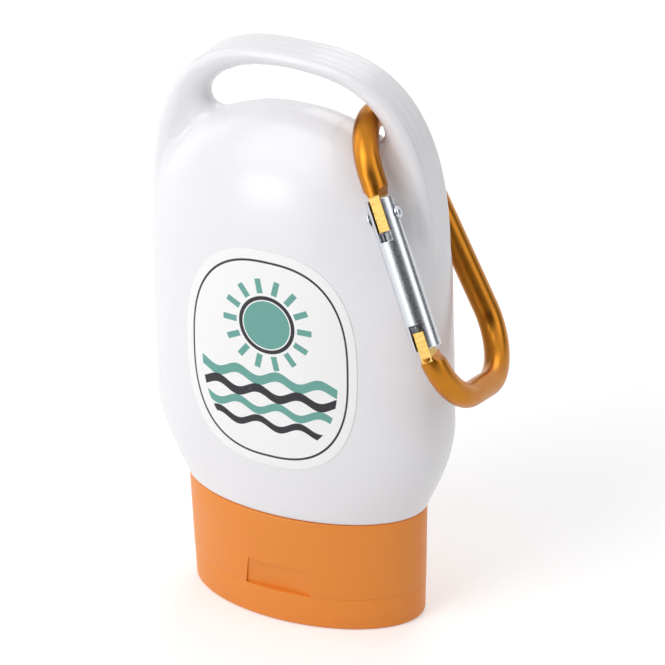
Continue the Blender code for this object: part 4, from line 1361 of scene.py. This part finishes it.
class POCKET_OT_fittings(bpy.types.Operator):
    """Build the rivet with its domed heads, and finish the plunger and the spring"""
    bl_idname = "pocket.fittings"
    bl_label = "Rivet, Plunger and Spring"

    def execute(self, context):
        look = settings("hook")
        inner = look.gate_radius + look.rivet_gap
        head = [(look.rivet_radius, inner), (look.rivet_head_radius, inner)]
        rim_share, steps, last_turn = 0.25, 6, math.pi / 2 * 0.97
        for step in range(steps + 1):
            turn = last_turn * step / steps
            rise = rim_share + (1 - rim_share) * math.sin(turn)
            head.append((look.rivet_head_radius * math.cos(turn),
                         inner + look.rivet_head_height * rise))
        stations = [(radius, -height) for radius, height in reversed(head)] + head
        added("rivet", placed(cross_pin(stations, look.sides)), "hook",
              [aluminium()], ["gate_rivet"])
        steel = drawn_steel(look)
        for node in ("gate_plunger", "gate_spring"):
            obj = frame["nodes"][node]
            for index in range(len(obj.material_slots)):
                obj.material_slots[index].material = steel
        return {"FINISHED"}


# Stage

def seen_white(tree, shown, otherwise):
    """Level of a background: shown to camera, glossy and transmission rays, else otherwise."""
    path = tree.nodes.new("ShaderNodeLightPath").outputs
    level = path["Is Camera Ray"]
    for name in ("Is Glossy Ray", "Is Transmission Ray"):
        larger = tree.nodes.new("ShaderNodeMath")
        larger.operation = "MAXIMUM"
        tree.links.new(level, larger.inputs[0])
        tree.links.new(path[name], larger.inputs[1])
        level = larger.outputs[0]
    mixed = tree.nodes.new("ShaderNodeMapRange")
    tree.links.new(level, mixed.inputs["Value"])
    mixed.inputs["To Min"].default_value = otherwise
    mixed.inputs["To Max"].default_value = shown
    return mixed.outputs[0]


def aimed(obj, place, target, roll=0.0):
    """Put a lamp or camera at a place, looking at a target."""
    back = (place - target).normalized()
    right = Vector((0, 0, 1)).cross(back).normalized()
    up = back.cross(right)
    turned_right = right * math.cos(roll) - up * math.sin(roll)
    turned_up = right * math.sin(roll) + up * math.cos(roll)
    turn = Matrix((turned_right, turned_up, back)).transposed().to_4x4()
    obj.matrix_world = Matrix.Translation(place) @ turn


def around(azimuth, elevation, distance):
    """A place seen from the object at an azimuth and an elevation in radians."""
    return Vector((math.sin(azimuth) * math.cos(elevation),
                   -math.cos(azimuth) * math.cos(elevation), math.sin(elevation))) * distance


def white_world(sky):
    """A world that shows white to the camera and lights the scene at a lower level."""
    world = bpy.data.worlds.new("Studio")
    world.use_nodes = True
    bpy.context.scene.world = world
    background = world.node_tree.nodes["Background"]
    background.inputs["Color"].default_value = (1, 1, 1, 1)
    world.node_tree.links.new(seen_white(world.node_tree, 1.0, sky),
                              background.inputs["Strength"])


def pale_floor(colour, half_size=3, near=0.25, far=1.0, near_lift=0.35, far_lift=0.70):
    """A floor that keeps its shadows and is lifted to white with the distance."""
    bm = bmesh.new()
    bmesh.ops.create_grid(bm, x_segments=8, y_segments=8, size=half_size)
    floor = linked("floor", meshed("floor", bm))
    pale = Finish("Pale floor", colour, 0.9)
    pale.set("Emission Color", (1, 1, 1, 1))
    away = pale.node("ShaderNodeVectorMath", {0: pale.place}, operation="LENGTH").outputs["Value"]
    lift = pale.math("MULTIPLY", pale.ramp(away, near, far, near_lift, far_lift),
                     seen_white(pale.tree, 1.0, 0.0))
    pale.wear("Emission Strength", lift)
    floor.data.materials.append(pale.material)


def studio_lamp(name, azimuth, elevation, distance, size, level, target, tall_share=1.5):
    """A softbox whose energy grows with its distance, so that its level stays the same."""
    lamp = bpy.data.lights.new(name, "AREA")
    lamp.shape, lamp.size, lamp.size_y = "RECTANGLE", size, size * tall_share
    lamp.energy = level * (math.pi * distance) ** 2
    place = target + around(math.radians(azimuth), math.radians(elevation), distance)
    aimed(linked(name, lamp), place, target)


def dark_flag(name, azimuth, width, near, low, far, high, material):
    """A card that only reflections show, from a near low edge to a far high one."""
    bm = bmesh.new()
    bmesh.ops.create_grid(bm, x_segments=1, y_segments=1, size=1)
    for vert in bm.verts:
        distance, height = (near, low) if vert.co.y < 0 else (far, high)
        half = distance * math.tan(math.radians(width / 2))
        vert.co = Vector((vert.co.x * half, -distance, height))
    bmesh.ops.rotate(bm, verts=bm.verts, matrix=Matrix.Rotation(math.radians(azimuth), 3, "Z"))
    flag = linked(name, meshed(name, bm))
    flag.data.materials.append(material)
    flag.visible_camera = flag.visible_diffuse = flag.visible_shadow = False


class POCKET_OT_stage(bpy.types.Operator):
    """Set up the floor, the background, the studio lamps and the camera"""
    bl_idname = "pocket.stage"
    bl_label = "Stage"

    def execute(self, context):
        look = settings("studio")
        scene = context.scene
        scene.view_settings.view_transform = "Standard"
        target = Vector((look.target_right, 0, look.target_height))
        white_world(look.sky)
        pale_floor(look.floor)
        for name, azimuth, elevation, distance, size, level in (
                ("key", -24, 38, 0.70, 0.42, 0.46),
                ("left", -85, 22, 0.70, 0.40, 0.15),
                ("right", 95, 30, 0.80, 0.40, 0.12),
                ("back", 190, 50, 0.80, 0.40, 0.22),
                ("glint", -27, 5, 0.70, 0.075, 0.07)):
            studio_lamp(name, azimuth, elevation, distance, size, level, target)
        dark = Finish("Dark flag", look.flag, 0.9).material
        for name, azimuth, width, near, low, far, high in (
                ("front_flag", 28, 80, 1.0, -0.05, 1.0, 0.90),
                ("right_flag", 122, 34, 1.0, -0.05, 1.0, 0.67),
                ("left_flag", -112, 26, 1.0, -0.05, 1.0, 0.84),
                ("floor_flag", 14, 62, 0.22, 0.001, 1.0, 0.001)):
            dark_flag(name, azimuth, width, near, low, far, high, dark)
        camera = bpy.data.cameras.new("camera")
        camera.sensor_width = 36.0
        camera.lens = look.distance / look.pixel / PHOTO_SIDE * camera.sensor_width
        camera.clip_start, camera.clip_end = 0.05, 20
        eye = linked("camera", camera)
        aimed(eye, target + around(look.azimuth, look.elevation, look.distance), target, look.roll)
        scene.camera = eye
        return {"FINISHED"}


OPERATORS = (POCKET_OT_bottle, POCKET_OT_label, POCKET_OT_closure, POCKET_OT_lid,
             POCKET_OT_hinge, POCKET_OT_hook, POCKET_OT_gate, POCKET_OT_fittings,
             POCKET_OT_stage)


class POCKET_PT_panel(bpy.types.Panel):
    """Lists the pieces of the pocket bottle"""
    bl_idname = "POCKET_PT_panel"
    bl_label = "Pocket Bottle"
    bl_space_type = "VIEW_3D"
    bl_region_type = "UI"
    bl_category = "Bottle"

    def draw(self, context):
        for operator in OPERATORS:
            self.layout.operator(operator.bl_idname)
        for name, group in SETTINGS.items():
            box = self.layout.box()
            box.label(text=name.capitalize())
            for setting in group.__annotations__:
                box.prop(settings(name), setting)


def register():
    for cls in (*SETTINGS.values(), *OPERATORS, POCKET_PT_panel):
        bpy.utils.register_class(cls)
    for name, group in SETTINGS.items():
        setattr(bpy.types.Scene, "pocket_" + name, PointerProperty(type=group))


def unregister():
    for name in SETTINGS:
        delattr(bpy.types.Scene, "pocket_" + name)
    for cls in reversed((*SETTINGS.values(), *OPERATORS, POCKET_PT_panel)):
        bpy.utils.unregister_class(cls)


def main():
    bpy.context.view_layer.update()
    register()
    bpy.ops.pocket.bottle()
    bpy.ops.pocket.label()
    bpy.ops.pocket.closure()
    bpy.ops.pocket.lid()
    bpy.ops.pocket.hinge()
    bpy.ops.pocket.hook()
    bpy.ops.pocket.gate()
    bpy.ops.pocket.fittings()
    bpy.ops.pocket.stage()


if __name__ == "__main__":
    main()
